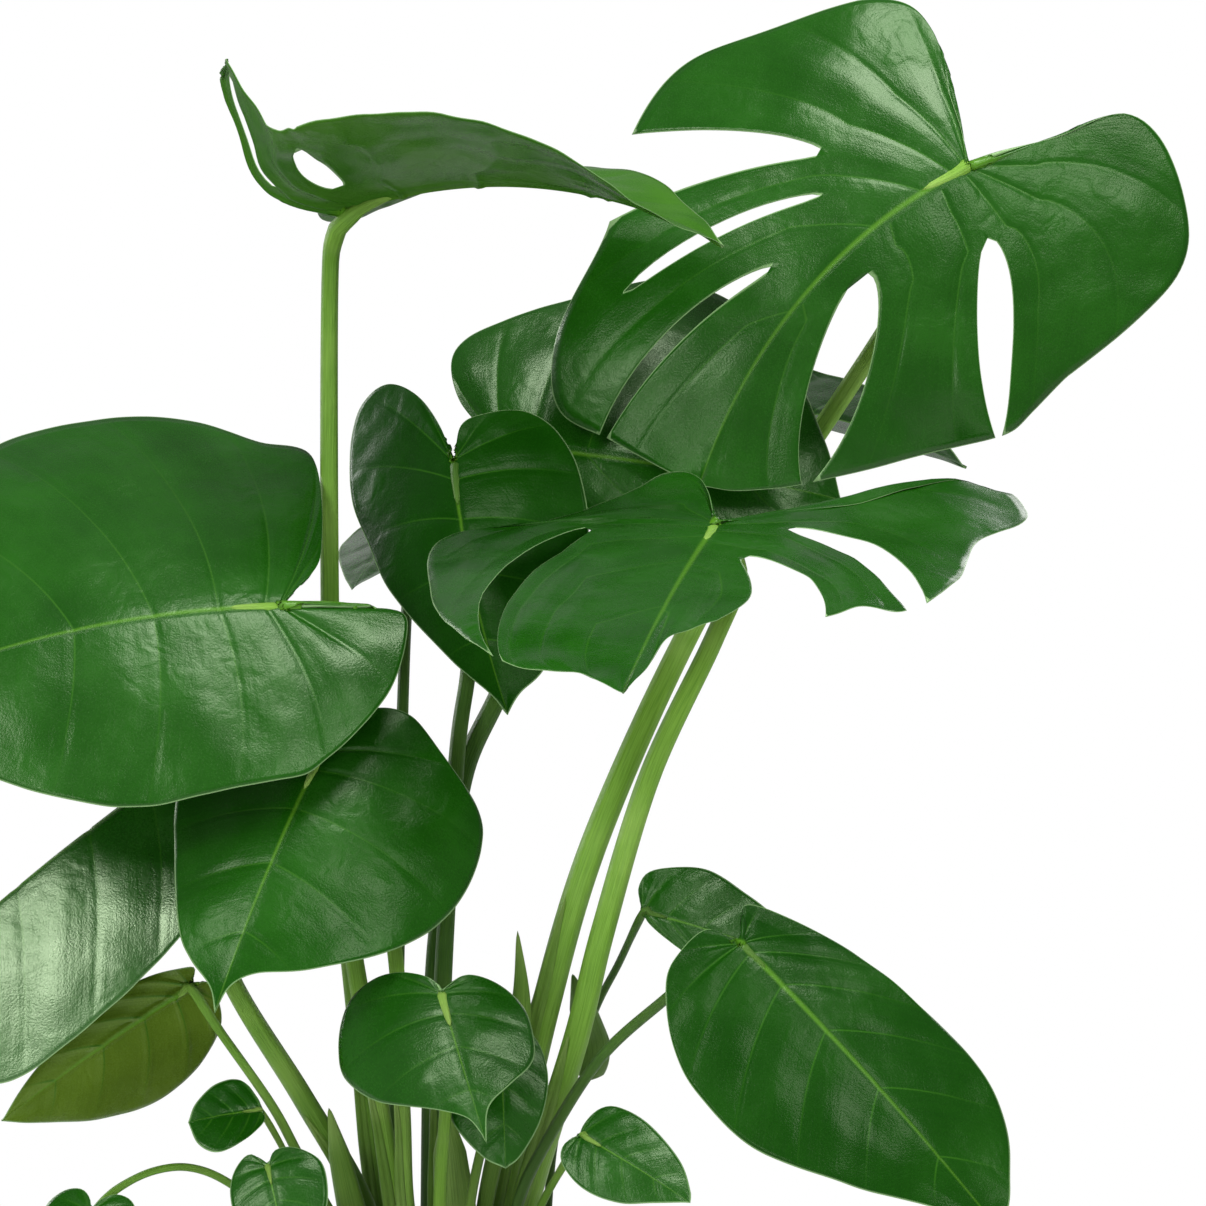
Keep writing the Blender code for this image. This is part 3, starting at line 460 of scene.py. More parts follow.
# %% Leaves, first part
LEAVES = {
    "top_right": {
        "joint": (296, 110, 848), "tip": (142, 102, 665), "face": (0, -1, 0.15),
        "right": [(0, 0), (-0.03, 0.08), (-0.06, 0.20), (-0.11, 0.36), (-0.07, 0.49), (0.15, 0.59),
                  (0.31, 0.66), (0.47, 0.60), (0.62, 0.49), (0.83, 0.46), (0.95, 0.38), (0.97, 0.23),
                  (0.99, 0.10), (1, 0)],
        "left": [(0, 0), (-0.13, 0.01), (-0.24, 0.03), (-0.40, 0.05), (-0.45, 0.18), (-0.39, 0.40),
                 (-0.20, 0.50), (0.20, 0.57), (0.42, 0.56), (0.73, 0.40), (0.90, 0.24), (0.98, 0.10),
                 (1, 0)],
        "fold": (-6, -6), "curl": (-18, -14), "droop": 20, "sweep": -45, "vein_power": 3,
        "splits": [("right", 0.60, -0.02, 0.42, 1, 0.045, 0),
                   ("right", 0.69, 0.08, 0.30, 0.80, 0.015, 0),
                   ("right", 0.805, 0.07, 0.26, 1, 0.03, 0.85), ("left", 0.54, 0.11, 0.30, 1, 0.11, 0.95),
                   ("left", 0.785, 0.11, 0.15, 1, 0.11, 0.95)],
        "stalk": [(22, 16), (31, 15, 266), (55, 15, 374), (85, 30, 472), (142, 95, 593),
                  (198, 172, 675), (250, 186, 753), (289, 156, 820)],
        "stalk_radius": (9, 4.5)},
    "top_left": {
        "joint": (-55, 0, 816), "tip": (153, -20, 793), "face": (0, 0.03, 1),
        "right": [(0, 0), (-0.12, 0.04), (-0.40, 0.10), (-0.62, 0.20), (-0.60, 0.32), (-0.34, 0.40),
                  (-0.05, 0.50), (0.25, 0.56), (0.52, 0.50), (0.76, 0.34), (0.92, 0.14), (1, 0)],
        "left": [(0, 0), (-0.06, 0.05), (-0.10, 0.20), (-0.05, 0.38), (0.15, 0.50), (0.40, 0.46),
                 (0.70, 0.30), (0.90, 0.10), (1, 0)],
        "fold": (16, 4), "curl": (2, 0), "droop": 50, "lift": 85, "twist": -22, "vein_power": 2,
        "splits": [("right", 0.30, 0, 0.25, 0.75, 0.03, 0), ("right", 0.50, 0, 0.25, 0.75, 0.03, 0)],
        "stalk": [(-24, 30), (-38, 30, 263), (-52, 26, 389), (-62, 24, 489), (-65, 30, 600),
                  (-65, 28, 765), (-61, 8, 800)],
        "stalk_radius": (6, 4.6)},
    "left_large": {
        "joint": (-87, -60, 597), "tip": (-293, -100, 552), "face": (-0.1, -0.8, 0.6),
        "right": [(0, 0), (-0.06, 0.07), (-0.14, 0.20), (-0.18, 0.58), (-0.06, 0.67), (0.08, 0.76),
                  (0.31, 0.81), (0.55, 0.79), (0.74, 0.59), (0.90, 0.27), (1, 0)],
        "left": [(0, 0), (-0.08, 0.01), (-0.18, 0.01), (-0.28, 0.01), (-0.32, 0.06), (-0.25, 0.25),
                 (-0.08, 0.42), (0.05, 0.48), (0.43, 0.49), (0.67, 0.42), (0.88, 0.26), (0.97, 0.10),
                 (1, 0)],
        "fold": (-4, -8), "curl": (-8, -14), "droop": 20, "sweep": -12,
        "stalk": [(-22, -2), (-27, -6, 267), (-45, -20, 381), (-59, -24, 464), (-75, -28, 535),
                  (-84, -42, 580)],
        "stalk_radius": (6, 4)},
    "left_middle": {
        "joint": (-64, -60, 518), "tip": (-117, -120, 383), "face": (-0.1, -0.9, 0.4),
        "right": [(0, 0), (-0.09, 0.08), (-0.16, 0.26), (-0.02, 0.42), (0.25, 0.45), (0.52, 0.35),
                  (0.76, 0.23), (0.85, 0.15), (0.92, 0.05), (1, 0)],
        "left": [(0, 0), (-0.12, 0.01), (-0.25, 0.09), (-0.28, 0.21), (-0.21, 0.36), (-0.09, 0.57),
                 (0.04, 0.64), (0.25, 0.65), (0.44, 0.59), (0.61, 0.46), (0.76, 0.25), (0.83, 0.09),
                 (0.90, 0.02), (1, 0)],
        "fold": (-8, -8), "curl": (-14, -22), "droop": 28,
        "stalk": [(-10, -26), (-20, -28, 269), (-22, -32, 322), (-26, -38, 410), (-42, -42, 470),
                  (-60, -50, 505)],
        "stalk_radius": (5, 3.6)},
    "left_glossy": {
        "joint": (-130, -20, 521), "tip": (-318, -60, 363), "face": (-0.5, -0.3, 0.8),
        "right": HEART,
        "left": [(0, 0), (-0.08, 0.06), (-0.13, 0.18), (-0.02, 0.30), (0.30, 0.33), (0.55, 0.35),
                 (0.70, 0.34), (0.83, 0.30), (0.94, 0.18), (1, 0)],
        "fold": (-20, -48), "curl": (-8, -14), "droop": 12,
        "stalk": [(-32, 14), (-46, 6, 268), (-78, -6, 327), (-117, -10, 392), (-133, -8, 447),
                  (-137, -6, 490), (-134, -10, 510)],
        "stalk_radius": (7, 4.5)},
    "centre_dark": {
        "joint": (2, 66, 678), "tip": (34, 30, 536), "face": (-0.42, -0.85, 0.2),
        "right": [(0, 0), (-0.17, 0.04), (-0.35, 0.14), (-0.46, 0.28), (-0.44, 0.43), (-0.30, 0.51),
                  (-0.07, 0.53), (0.17, 0.46), (0.40, 0.38), (0.73, 0.18), (0.90, 0.05), (1, 0)],
        "left": [(0, 0), (-0.14, 0.05), (-0.17, 0.16), (-0.15, 0.30), (-0.04, 0.41), (0.14, 0.47),
                 (0.40, 0.46), (0.64, 0.37), (0.87, 0.19), (0.94, 0.07), (1, 0)],
        "fold": (-6, -10), "curl": (-18, -18), "droop": 30,
        "stalk": [(0, 8), (-4, 10, 265), (-2, 16, 379), (5, 50, 511), (11, 74, 564), (10, 94, 621),
                  (8, 88, 664)],
        "stalk_radius": (5.5, 4)},
}
print("leaves so far:", len(LEAVES))

# %% [markdown]
# More leaves
# The list goes on in the same form: the split leaf in the centre, the three leaves half hidden behind,
# and two on the right.

# %% Leaves, second part
LEAVES |= {
    "centre_split": {
        "joint": (149, 0, 642), "tip": (97, -240, 554), "face": (0, -0.45, 0.9),
        "right": [(0, 0), (-0.22, 0.06), (-0.34, 0.12), (-0.32, 0.18), (-0.16, 0.25), (0.02, 0.38),
                  (0.13, 0.57), (0.50, 0.50), (0.71, 0.41), (0.89, 0.26), (0.92, 0.12), (1, 0)],
        "left": [(0, 0), (-0.14, 0.12), (-0.24, 0.25), (-0.52, 0.50), (-0.40, 0.62), (-0.16, 0.54),
                 (0.10, 0.53), (0.34, 0.46), (0.38, 0.38), (0.53, 0.26), (0.60, 0.12), (0.74, 0.04),
                 (0.88, 0.02), (1, 0)],
        "fold": (-2, -2), "curl": (-6, -6), "droop": 10, "droop_power": 1.5, "lift": 8,
        "vein_power": 2.5,
        "splits": [("right", 0.51, 0.35, 0.44, 1, 0.13, 0.95), ("left", 0.47, 0.175, 0.28, 1, 0.08, 0.8),
                   ("left", 0.67, 0.12, 0.22, 1, 0.08, 0.4)],
        "stalk": [(34, -6), (44, -4, 266), (72, -6, 358), (87, -2, 418), (113, 10, 503),
                  (148, 20, 577), (162, 22, 614)],
        "stalk_radius": (8, 5)},
    "behind_top": {
        "joint": (30, 130, 689), "tip": (225, 140, 658), "face": (0, -0.9, 0.4),
        "right": [(0, 0), (0.02, 0.05), (0.18, 0.19), (0.45, 0.25), (0.77, 0.17), (0.94, 0.06), (1, 0)],
        "left": [(0, 0), (-0.05, 0.04), (-0.15, 0.14), (-0.20, 0.28), (-0.17, 0.38), (-0.07, 0.46),
                 (0.10, 0.56), (0.40, 0.70), (0.64, 0.64), (0.82, 0.44), (0.94, 0.18), (1, 0)],
        "fold": (-6, -6), "curl": (-10, -10), "droop": 20,
        "stalk": [(-8, 44), (-7, 50, 375), (-1, 58, 442), (9, 68, 504), (29, 80, 549),
                  (47, 106, 600), (45, 132, 651), (36, 138, 678)],
        "stalk_radius": (7.5, 4.5)},
    "behind_right": {
        "joint": (182, 244, 720), "tip": (308, 269, 681), "face": (0, 0.3, 0.95),
        "right": YOUNG, "left": YOUNG, "fold": (8, 8), "droop": 20,
        "stalk": [(20, 42), (41, 44, 293), (52, 48, 371), (85, 68, 470), (135, 130, 577),
                  (160, 208, 658), (176, 238, 703)],
        "stalk_radius": (6, 4)},
    "behind_centre": {
        "joint": (-22, 122, 650), "tip": (-62, 202, 606), "face": (-0.3, 0.3, 0.85),
        "right": YOUNG, "left": YOUNG, "fold": (-6, -5), "droop": 20,
        "stalk": [(-28, 58), (-31, 56, 260), (-28, 56, 403), (-26, 66, 538), (-24, 112, 622)],
        "stalk_radius": (4, 3)},
    "right_low": {
        "joint": (161, -70, 416), "tip": (298, -110, 265), "face": (0.1, -0.85, 0.5),
        "right": [(0, 0), (-0.03, 0.01), (-0.09, 0.04), (-0.09, 0.13), (-0.05, 0.22), (0.09, 0.32),
                  (0.24, 0.36), (0.44, 0.34), (0.65, 0.23), (0.81, 0.11), (0.94, 0.03), (1, 0)],
        "left": [(0, 0), (-0.03, 0.05), (-0.08, 0.09), (-0.02, 0.14), (0.19, 0.22), (0.54, 0.27),
                 (0.77, 0.23), (0.92, 0.10), (1, 0)],
        "fold": (-5, -5), "curl": (-14, -14), "droop": 18,
        "stalk": [(28, -28), (40, -30, 269), (55, -34, 303), (85, -42, 351), (120, -52, 384),
                  (147, -60, 406)],
        "stalk_radius": (3.5, 2.8)},
    "right_small": {
        "joint": (109, -20, 430), "tip": (195, -20, 403), "face": (0, -0.9, 0.4),
        "right": [(0, 0), (0.06, 0.07), (0.26, 0.16), (0.48, 0.21), (0.72, 0.16), (0.92, 0.06), (1, 0)],
        "left": [(0, 0), (-0.04, 0.06), (-0.07, 0.15), (-0.03, 0.27), (0.16, 0.37), (0.33, 0.39),
                 (0.53, 0.33), (0.74, 0.24), (0.92, 0.10), (1, 0)],
        "fold": (-5, -5), "curl": (-10, -10), "droop": 15,
        "stalk": [(54, 34), (60, 40, 299), (80, 42, 364), (96, 18, 399)],
        "stalk_radius": (2.5, 2)},
}
print("leaves so far:", len(LEAVES))

# %% [markdown]
# The last leaves
# The list ends with the leaves in front, the low ones on the left, and the one still rolled up.

# %% Leaves, third part
LEAVES |= {
    "front_right": {
        "joint": (75, -90, 316), "tip": (133, -110, 282), "face": (0.1, -0.9, 0.35),
        "right": [(0, 0), (-0.07, 0.14), (0.01, 0.27), (0.27, 0.35), (0.56, 0.29), (0.81, 0.13), (1, 0)],
        "left": [(0, 0), (-0.03, 0.08), (-0.01, 0.26), (0.11, 0.36), (0.39, 0.36), (0.75, 0.24),
                 (0.95, 0.08), (1, 0)],
        "fold": (-6, -6), "curl": (-12, -12), "droop": 20,
        "stalk": [(38, -46), (44, -50, 248), (54, -62, 275), (66, -78, 298)],
        "stalk_radius": (2.5, 2)},
    "front_centre": {
        "joint": (1, -100, 392), "tip": (26, -130, 316), "face": (-0.1, -0.9, 0.4),
        "right": [(0, 0), (-0.11, 0.03), (-0.26, 0.21), (-0.32, 0.42), (-0.25, 0.65), (-0.03, 0.79),
                  (0.22, 0.80), (0.51, 0.60), (0.72, 0.22), (0.82, 0.07), (0.92, 0.02), (1, 0)],
        "left": [(0, 0), (-0.04, 0.07), (-0.09, 0.21), (0.01, 0.38), (0.22, 0.49), (0.48, 0.48),
                 (0.61, 0.41), (0.70, 0.25), (0.80, 0.08), (1, 0)],
        "fold": (-10, -10), "curl": (-18, -18), "droop": 32,
        "stalk": [(0, -44), (-1, -52, 273), (3, -76, 333), (2, -90, 376)],
        "stalk_radius": (4, 3)},
    "front_centre_low": {
        "joint": (32, -58, 365), "tip": (35, -75, 296), "face": (0, -0.9, 0.3),
        "right": [(0, 0), (-0.09, 0.15), (0.01, 0.34), (0.27, 0.47), (0.62, 0.40), (0.90, 0.18), (1, 0)],
        "left": [(0, 0), (-0.08, 0.16), (0.08, 0.30), (0.35, 0.35), (0.65, 0.28), (0.91, 0.12), (1, 0)],
        "fold": (-6, -6), "curl": (-10, -10), "droop": 15,
        "stalk": [(14, -38), (15, -40, 271), (28, -46, 331), (31, -50, 352)],
        "stalk_radius": (3, 2.4)},
    "low_left_pale": {
        "joint": (-138, -30, 390), "tip": (-238, -50, 319), "face": (0.2, 0.7, 0.6),
        "right": [(0, 0), (-0.07, 0.03), (-0.07, 0.17), (0, 0.34), (0.19, 0.48), (0.43, 0.51),
                  (0.66, 0.36), (0.88, 0.14), (1, 0)],
        "left": [(0, 0), (-0.06, 0.06), (0.09, 0.12), (0.30, 0.15), (0.60, 0.12), (0.85, 0.06), (1, 0)],
        "fold": (10, 25), "curl": (10, 10), "droop": 10,
        "stalk": [(-44, -20), (-51, -30, 246), (-77, -34, 296), (-93, -36, 326), (-121, -36, 366)],
        "stalk_radius": (3, 2.4)},
    "low_left_small": {
        "joint": (-97, -50, 325), "tip": (-136, -60, 319), "face": (-0.1, -0.8, 0.5),
        "right": [(0, 0), (0.02, 0.17), (0.20, 0.46), (0.54, 0.44), (0.84, 0.24), (1, 0)],
        "left": [(0, 0), (0.02, 0.20), (0.38, 0.46), (0.72, 0.55), (0.94, 0.36), (1, 0)],
        "fold": (4, 4), "droop": 20,
        "stalk": [(-47, -7), (-53, -16, 239), (-75, -28, 278), (-89, -38, 307)],
        "stalk_radius": (2, 1.6)},
    "low_front_left": {
        "joint": (-92, -80, 298), "tip": (-79, -100, 251), "face": (-0.1, -0.9, 0.35),
        "right": [(0, 0), (-0.18, 0.15), (-0.07, 0.34), (0.17, 0.44), (0.57, 0.42), (0.86, 0.22), (1, 0)],
        "left": [(0, 0), (-0.15, 0.11), (-0.14, 0.31), (0.05, 0.53), (0.35, 0.55), (0.65, 0.45),
                 (0.92, 0.20), (1, 0)],
        "fold": (-4, -4), "curl": (-10, -10), "droop": 20,
        "stalk": [(-56, -44), (-71, -52, 244), (-86, -68, 278)],
        "stalk_radius": (2, 1.6)},
    "low_left_edge": {
        "joint": (-189, -60, 271), "tip": (-202, -80, 226), "face": (-0.3, -0.8, 0.5),
        "fold": (-4, -4), "droop": 20,
        "stalk": [(-66, -24), (-84, -42, 259), (-113, -50, 284), (-135, -48, 293), (-156, -46, 291),
                  (-176, -46, 281)],
        "stalk_radius": (2.5, 2)},
    "rolled_young": {
        "joint": (76, 20, 334), "tip": (70, 25, 386), "face": (0, -1, 0.1),
        "right": YOUNG, "left": YOUNG, "fold": (62, 62), "curl": (40, 40),
        "stalk": [(36, 36), (46, 32, 288), (57, 30, 314), (68, 28, 326)],
        "stalk_radius": (3, 2.4)},
}
print("leaves:", len(LEAVES), "with splits:", sum("splits" in leaf for leaf in LEAVES.values()))

# %% [markdown]
# The list of sheaths
# Each sheath rises out of the soil through a few points. Its widths come where it is made.

# %% Sheaths
SHEATHS = {
    "sheath_centre": [(8, -16), (8, -16, 240), (4, -18, 290), (1, -20, 325)],
    "sheath_left": [(-34, -18), (-40, -18, 230), (-50, -18, 266), (-63, -15, 322)],
    "sheath_right": [(14, -4), (22, -4, 266), (38, -2, 340), (42, -1, 380), (40, 0, 418)],
}
print("sheaths:", len(SHEATHS))

# %% [markdown]
# How the veins are counted
# The side veins of a real blade run down the middle of each finger, and the splits lie between them.
# So the veins are counted with a phase that is a whole number on a vein, and half way between two
# whole numbers at every split. Two UV layers then carry what the finish and the relief need: the phase
# with its spread in millimetres, and the distances to the midrib and to the nearest margin.

# %% Vein phase
FINE_CELL = 2.6          # millimetres of margin that one column of the grid covers
LEFT_SIDE_PHASE = 40     # the left side's veins are counted from here, to give them their own pattern
FEWEST_VEINS = 5         # side veins on each side of the smallest leaf
VEIN_EVERY = 80          # millimetres of midrib that bring one more vein
FAR = 1e3                # millimetres: the margin's distance where no split is near


def vein_phase(place, cuts, veins):
    """A whole number on each side vein, and half way between two of them at each cut."""
    knots, values = [0.0], [0.0]
    for cut in sorted(cuts, key=lambda c: c[1]):
        value = max(round(cut[1] * veins - 0.5) + 0.5, values[-1] + 1)
        knots.append(cut[1])
        values.append(value)
    knots.append(1.0)
    values.append(max(veins, values[-1] + 0.5))
    return np.interp(place, knots, values)


print("phases of the margin's quarters with one split in the middle:",
      vein_phase(np.array([0, 0.25, 0.5, 0.75, 1.0]), [("right", 0.5)], 6).tolist())

# %% [markdown]
# The fine grid of a blade
# The grid's columns follow one another along the margin, and each column crosses the blade from the
# left margin over the midrib to the right one. A split gets two columns in the same place, one for each
# of its sides. Along with the points go the phase, the spread and the distances.

# %% Fine grid
def fine_blade(leaf):
    """The blade's middle surface on a fine grid, with everything that its relief and finish need."""
    length = (Vector(leaf["tip"]) - Vector(leaf["joint"])).length
    around = {side: np.linalg.norm(np.diff(smooth_line(leaf[side], 60), axis=0), axis=1).sum() * length
              for side in ("right", "left")}
    columns = int(np.clip(max(around.values()) / FINE_CELL, 40, 170))
    rows = int(np.clip(0.55 * length / FINE_CELL, 10, 30))
    cuts = sorted(leaf["splits"], key=lambda cut: cut[1])
    places = [(k / columns, 0) for k in range(columns + 1)
              if all(abs(k / columns - cut[1]) > 0.6 / columns for cut in cuts)]
    for cut in cuts:
        places += [(cut[1], -1), (cut[1], 1)]
    places.sort()
    reach = np.linspace(-1, 1, 2 * rows + 1)[None, :] * np.ones((len(places), 1))
    place = np.array(places)[:, None, :] * np.ones((1, 2 * rows + 1, 1))
    grid = {"reach": reach, "flat": np.zeros(reach.shape + (2,)),
            "phase": np.zeros(reach.shape), "length": length, "places": places}
    from_cut = np.full(reach.shape, FAR)
    for side, mirror in (("right", 1), ("left", -1)):
        mine = [cut for cut in cuts if cut[0] == side]
        at = opened(place, np.abs(reach), mine)
        half = vein_point(leaf[side], at, np.abs(reach), leaf["vein_power"])
        veins = round(FEWEST_VEINS + length / VEIN_EVERY)
        here = reach >= 0 if mirror == 1 else reach < 0
        grid["flat"][here] = half[here] * (1, mirror)
        phase = vein_phase(place[..., 0], mine, veins) + (0 if mirror == 1 else LEFT_SIDE_PHASE)
        grid["phase"][here] = phase[here]
        for _, cut_place, _, inner, outer, _, _ in mine:
            off = np.abs(place[..., 0] - cut_place) * around[side] * np.abs(reach)
            beside = here & (np.abs(reach) > inner) & (np.abs(reach) < outer + 0.02)
            from_cut[beside] = np.minimum(from_cut[beside], off[beside])
    grid["cut faces"] = set()
    for side, cut_place, _, inner, outer, _, _ in cuts:
        column = places.index((cut_place, -1))
        for row, (low, high) in enumerate(zip(reach[0], reach[0, 1:])):
            on_side = (high > 0) == (side == "right")
            if on_side and abs(low + high) / 2 > inner and max(abs(low), abs(high)) < outer + 0.001:
                grid["cut faces"].add((column, row))
    points, up = bent(leaf, grid["flat"][..., 0], grid["flat"][..., 1])
    grid["points"], grid["up"] = points, up
    along_vein = np.gradient(points, axis=1) * np.where(reach < 0, -1, 1)[..., None]
    along_vein /= np.linalg.norm(along_vein, axis=2, keepdims=True) + 1e-9
    between = np.gradient(points, axis=0) / (np.gradient(grid["phase"], axis=0)[..., None] + 1e-6)
    between -= (between * along_vein).sum(axis=2, keepdims=True) * along_vein
    grid["spread"] = np.clip(np.linalg.norm(between, axis=2) * length, 0.05, 60)
    grid["rib"] = np.abs(grid["flat"][..., 1]) * length
    side_length = np.linalg.norm(points[:, :1] - points[:, rows:rows + 1], axis=2)
    other_length = np.linalg.norm(points[:, -1:] - points[:, rows:rows + 1], axis=2)
    to_margin = (1 - np.abs(reach)) * np.where(reach < 0, side_length, other_length) * length
    grid["margin"] = np.minimum(to_margin, from_cut)
    return grid


tried = fine_blade({**DEFAULTS, **LEAVES["top_right"]})
print("the largest blade's grid:", tried["reach"].shape, "cut faces", len(tried["cut faces"]))

# %% [markdown]
# Relief of the upper side
# The midrib and the side veins lie in shallow grooves, and the skin between them swells like a quilt.
# That swelling is what breaks the window light on a waxy leaf into long streaks, so it is real shape
# here and not only a bump. Slow uneven waves keep two blades from looking stamped from one sheet.

# %% Relief
QUILT = 0.0050           # swelling between two side veins, in lengths of the midrib
RUMPLED = {"top_left": 1.9, "centre_split": 1.4}  # leaves that are more uneven than the rest
RIB_GROOVE = 0.9         # millimetres
VEIN_GROOVE = 0.5
SLOW_WAVES = 0.018       # broad unevenness of the whole blade, in lengths
QUICK_WAVES = 0.0035     # small unevenness between the veins, in lengths
RAGGED = 0.004           # unevenness of the margin, in lengths


def relieved(leaf, grid, seed):
    """The grid's points with veins sunk, panels swollen and the margin slightly uneven."""
    length = grid["length"]
    reach = np.abs(grid["reach"])
    fraction = grid["phase"] - np.round(grid["phase"])
    from_vein = np.abs(fraction) * grid["spread"]
    swell = np.cos(math.pi * fraction) ** 2
    quilt = -swell * QUILT * length * np.clip(reach * 2.5, 0, 1) * (1 - 0.6 * reach)
    grooves = -VEIN_GROOVE * np.exp(-(from_vein / 1.6) ** 2) * np.clip(grid["margin"] / 12, 0, 1)
    grooves -= RIB_GROOVE * np.exp(-(grid["rib"] / 2.2) ** 2) * np.clip(1.1 - grid["flat"][..., 0], 0, 1)
    slow, quick = np.zeros(reach.shape), np.zeros(reach.shape)
    for i in range(reach.shape[0]):
        for j in range(reach.shape[1]):
            x, y = grid["flat"][i, j]
            slow[i, j] = noise.noise(Vector((x * 3.1 + seed * 7.3, y * 3.1, seed * 1.7)))
            quick[i, j] = noise.noise(Vector((x * 11 + seed * 3.3, y * 11, seed * 5.7)))
    waves = slow * SLOW_WAVES + quick * QUICK_WAVES * leaf["rumpled"] ** 1.5
    waves = waves * length * np.clip(reach * 1.5, 0, 1)
    quilt = quilt * (1 + 1.2 * slow) * leaf["rumpled"]
    ragged = np.sin(grid["phase"] * 2 * math.pi * 0.5 + seed) * RAGGED * length * reach**4
    height = (quilt + grooves + waves + ragged) / length
    return grid["points"] + grid["up"] * height[..., None]


print("rumpled leaves:", RUMPLED)

# %% [markdown]
# The skin of a leaf
# The upper skin is deep green with a waxy cuticle. It pales to yellow-green on the midrib near the stalk,
# carries thin pale side veins and a net of finer ones, and ends in a hairline pale rim, which is a painted
# highlight along the margin. The under skin is greyer, lighter and duller, with raised veins. Both are
# mixed from the two UV layers, so the lines stay on the veins wherever the blade bends.

# %% Vein masks
def vein_masks(tree, width, size):
    """Where the side veins, the midrib and the margin are, each from 0 to 1, with the vein phase and the
    distance to the midrib.
    """
    phase, spread = split(tree, place_on(tree, "veins"))
    rib, margin = split(tree, place_on(tree, "edges"))
    off = maths(tree, "ABSOLUTE", maths(tree, "SUBTRACT", phase, maths(tree, "ROUND", phase)))
    from_vein = maths(tree, "MULTIPLY", off, spread)
    along, reach = split(tree, place_on(tree, "run"))
    vein = ramp(tree, from_vein, 0.12 * width, 0.75 * width, 1.0, 0.0)
    vein = maths(tree, "MULTIPLY", vein, ramp(tree, reach, 0.1, 0.95, 1.0, 0.15))
    thinner = ramp(tree, along, 0.0, 1.0, 1.0, 0.28, smooth=False)
    wide = width * size
    midrib = ramp(tree, maths(tree, "DIVIDE", rib, thinner), 0.2 * wide, 3.0 * wide, 0.85, 0.0)
    midrib = maths(tree, "MULTIPLY", midrib, ramp(tree, along, 0.0, 1.0, 1.0, 0.35, smooth=False))
    # painted highlight: a pale line along the margin, where the edge catches the light
    rim = ramp(tree, margin, 0.25, 0.9, 1.0, 0.0)
    return vein, midrib, rim, phase, rib


_, tried_tree, _ = new_finish("tried finish")
vein_masks(tried_tree, 1.0, 1.0)
print("a finish with the vein masks has", len(tried_tree.nodes), "nodes")
bpy.data.materials.remove(bpy.data.materials["tried finish"])

# %% [markdown]
# One skin for every side of a blade
# The colour comes from a few noises and the vein masks, and the gloss and the fine relief from the
# noises alone. The upper side, the under side and the rim are one recipe with other numbers.

# %% Leaf skin
def leaf_skin(name, deep, fresh, vein_colour, rib_colour, roughness, level, vein_width, size,
              rim_highlight_colour):
    """One side of a blade: mottled green, paler veins and midrib, a fine net and a waxy gloss."""
    finish, tree, shader = new_finish(name)
    here = place_on(tree)
    vein, midrib, rim, phase, rib = vein_masks(tree, vein_width, size)
    streak = tree.nodes.new("ShaderNodeCombineXYZ")
    put(streak.inputs["X"], maths(tree, "MULTIPLY", phase, 9.0))
    put(streak.inputs["Y"], maths(tree, "MULTIPLY", rib, 0.02))
    streaks = cloudy(tree, streak.outputs["Vector"], 1.0, 3.0, 0.55)
    patches = cloudy(tree, here, 22.0, 3.0)
    mottle = maths(tree, "ADD", maths(tree, "MULTIPLY", streaks, 0.2),
                   maths(tree, "MULTIPLY", patches, 0.8))
    colour = blended(tree, ramp(tree, mottle, 0.22, 0.82), deep, fresh)
    grain = cloudy(tree, here, 900.0, 2.0, 0.6)
    colour = blended(tree, ramp(tree, grain, 0.35, 0.75, 0.0, 0.30), colour, fresh)
    colour = blended(tree, maths(tree, "MULTIPLY", vein, 0.75), colour, vein_colour)
    colour = blended(tree, midrib, colour, rib_colour)
    # painted highlight along the margin
    colour = blended(tree, maths(tree, "MULTIPLY", rim, 0.8), colour, rim_highlight_colour)
    put(shader.inputs["Base Color"], colour)
    gloss = maths(tree, "ADD", maths(tree, "MULTIPLY", patches, 0.6), maths(tree, "MULTIPLY", grain, 0.4))
    put(shader.inputs["Roughness"], ramp(tree, gloss, 0.3, 0.7, roughness - 0.04, roughness + 0.08))
    shader.inputs["Specular IOR Level"].default_value = level
    shader.inputs["Specular Tint"].default_value = (0.80, 1.0, 0.66, 1)
    puckers = cloudy(tree, here, 75.0, 1.5, 0.4, 1.0)
    puckers = maths(tree, "MULTIPLY", puckers, ramp(tree, patches, 0.40, 0.70, 0.15, 1.0))
    pebble = maths(tree, "ADD", maths(tree, "MULTIPLY", grain, 0.12),
                   maths(tree, "MULTIPLY", streaks, 0.12))
    raised(tree, shader, maths(tree, "ADD", pebble, maths(tree, "MULTIPLY", puckers, 0.7)), 0.0011)
    return finish


GREY = (0.2, 0.2, 0.2)
tried_skin = leaf_skin("tried skin", GREY, GREY, GREY, GREY, 0.5, 0.3, 1.0, 1.0, GREY)
print("a leaf skin has", len(tried_skin.node_tree.nodes), "nodes")
bpy.data.materials.remove(tried_skin)

# %% [markdown]
# The looks of the leaves
# Each look is a deep and a fresh green that the skin mixes. The dark look is painted shade, for the leaves
# that sit in the shade of the others. A few leaves shine more or less than others of their look, so they
# have a level of their own.

# %% Leaf looks
LEAF_LOOKS = {
    "deep": ((0.004, 0.044, 0.001), (0.009, 0.078, 0.002)),
    # painted shade: the deep look made darker
    "dark": ((0.003, 0.034, 0.001), (0.007, 0.058, 0.002)),
    "fresh": ((0.020, 0.090, 0.006), (0.045, 0.140, 0.013)),
    # painted light: the olive look is a yellow-green that stands for light shining through a leaf seen from
    # its under side
    "olive": ((0.060, 0.115, 0.008), (0.095, 0.165, 0.014)),
}
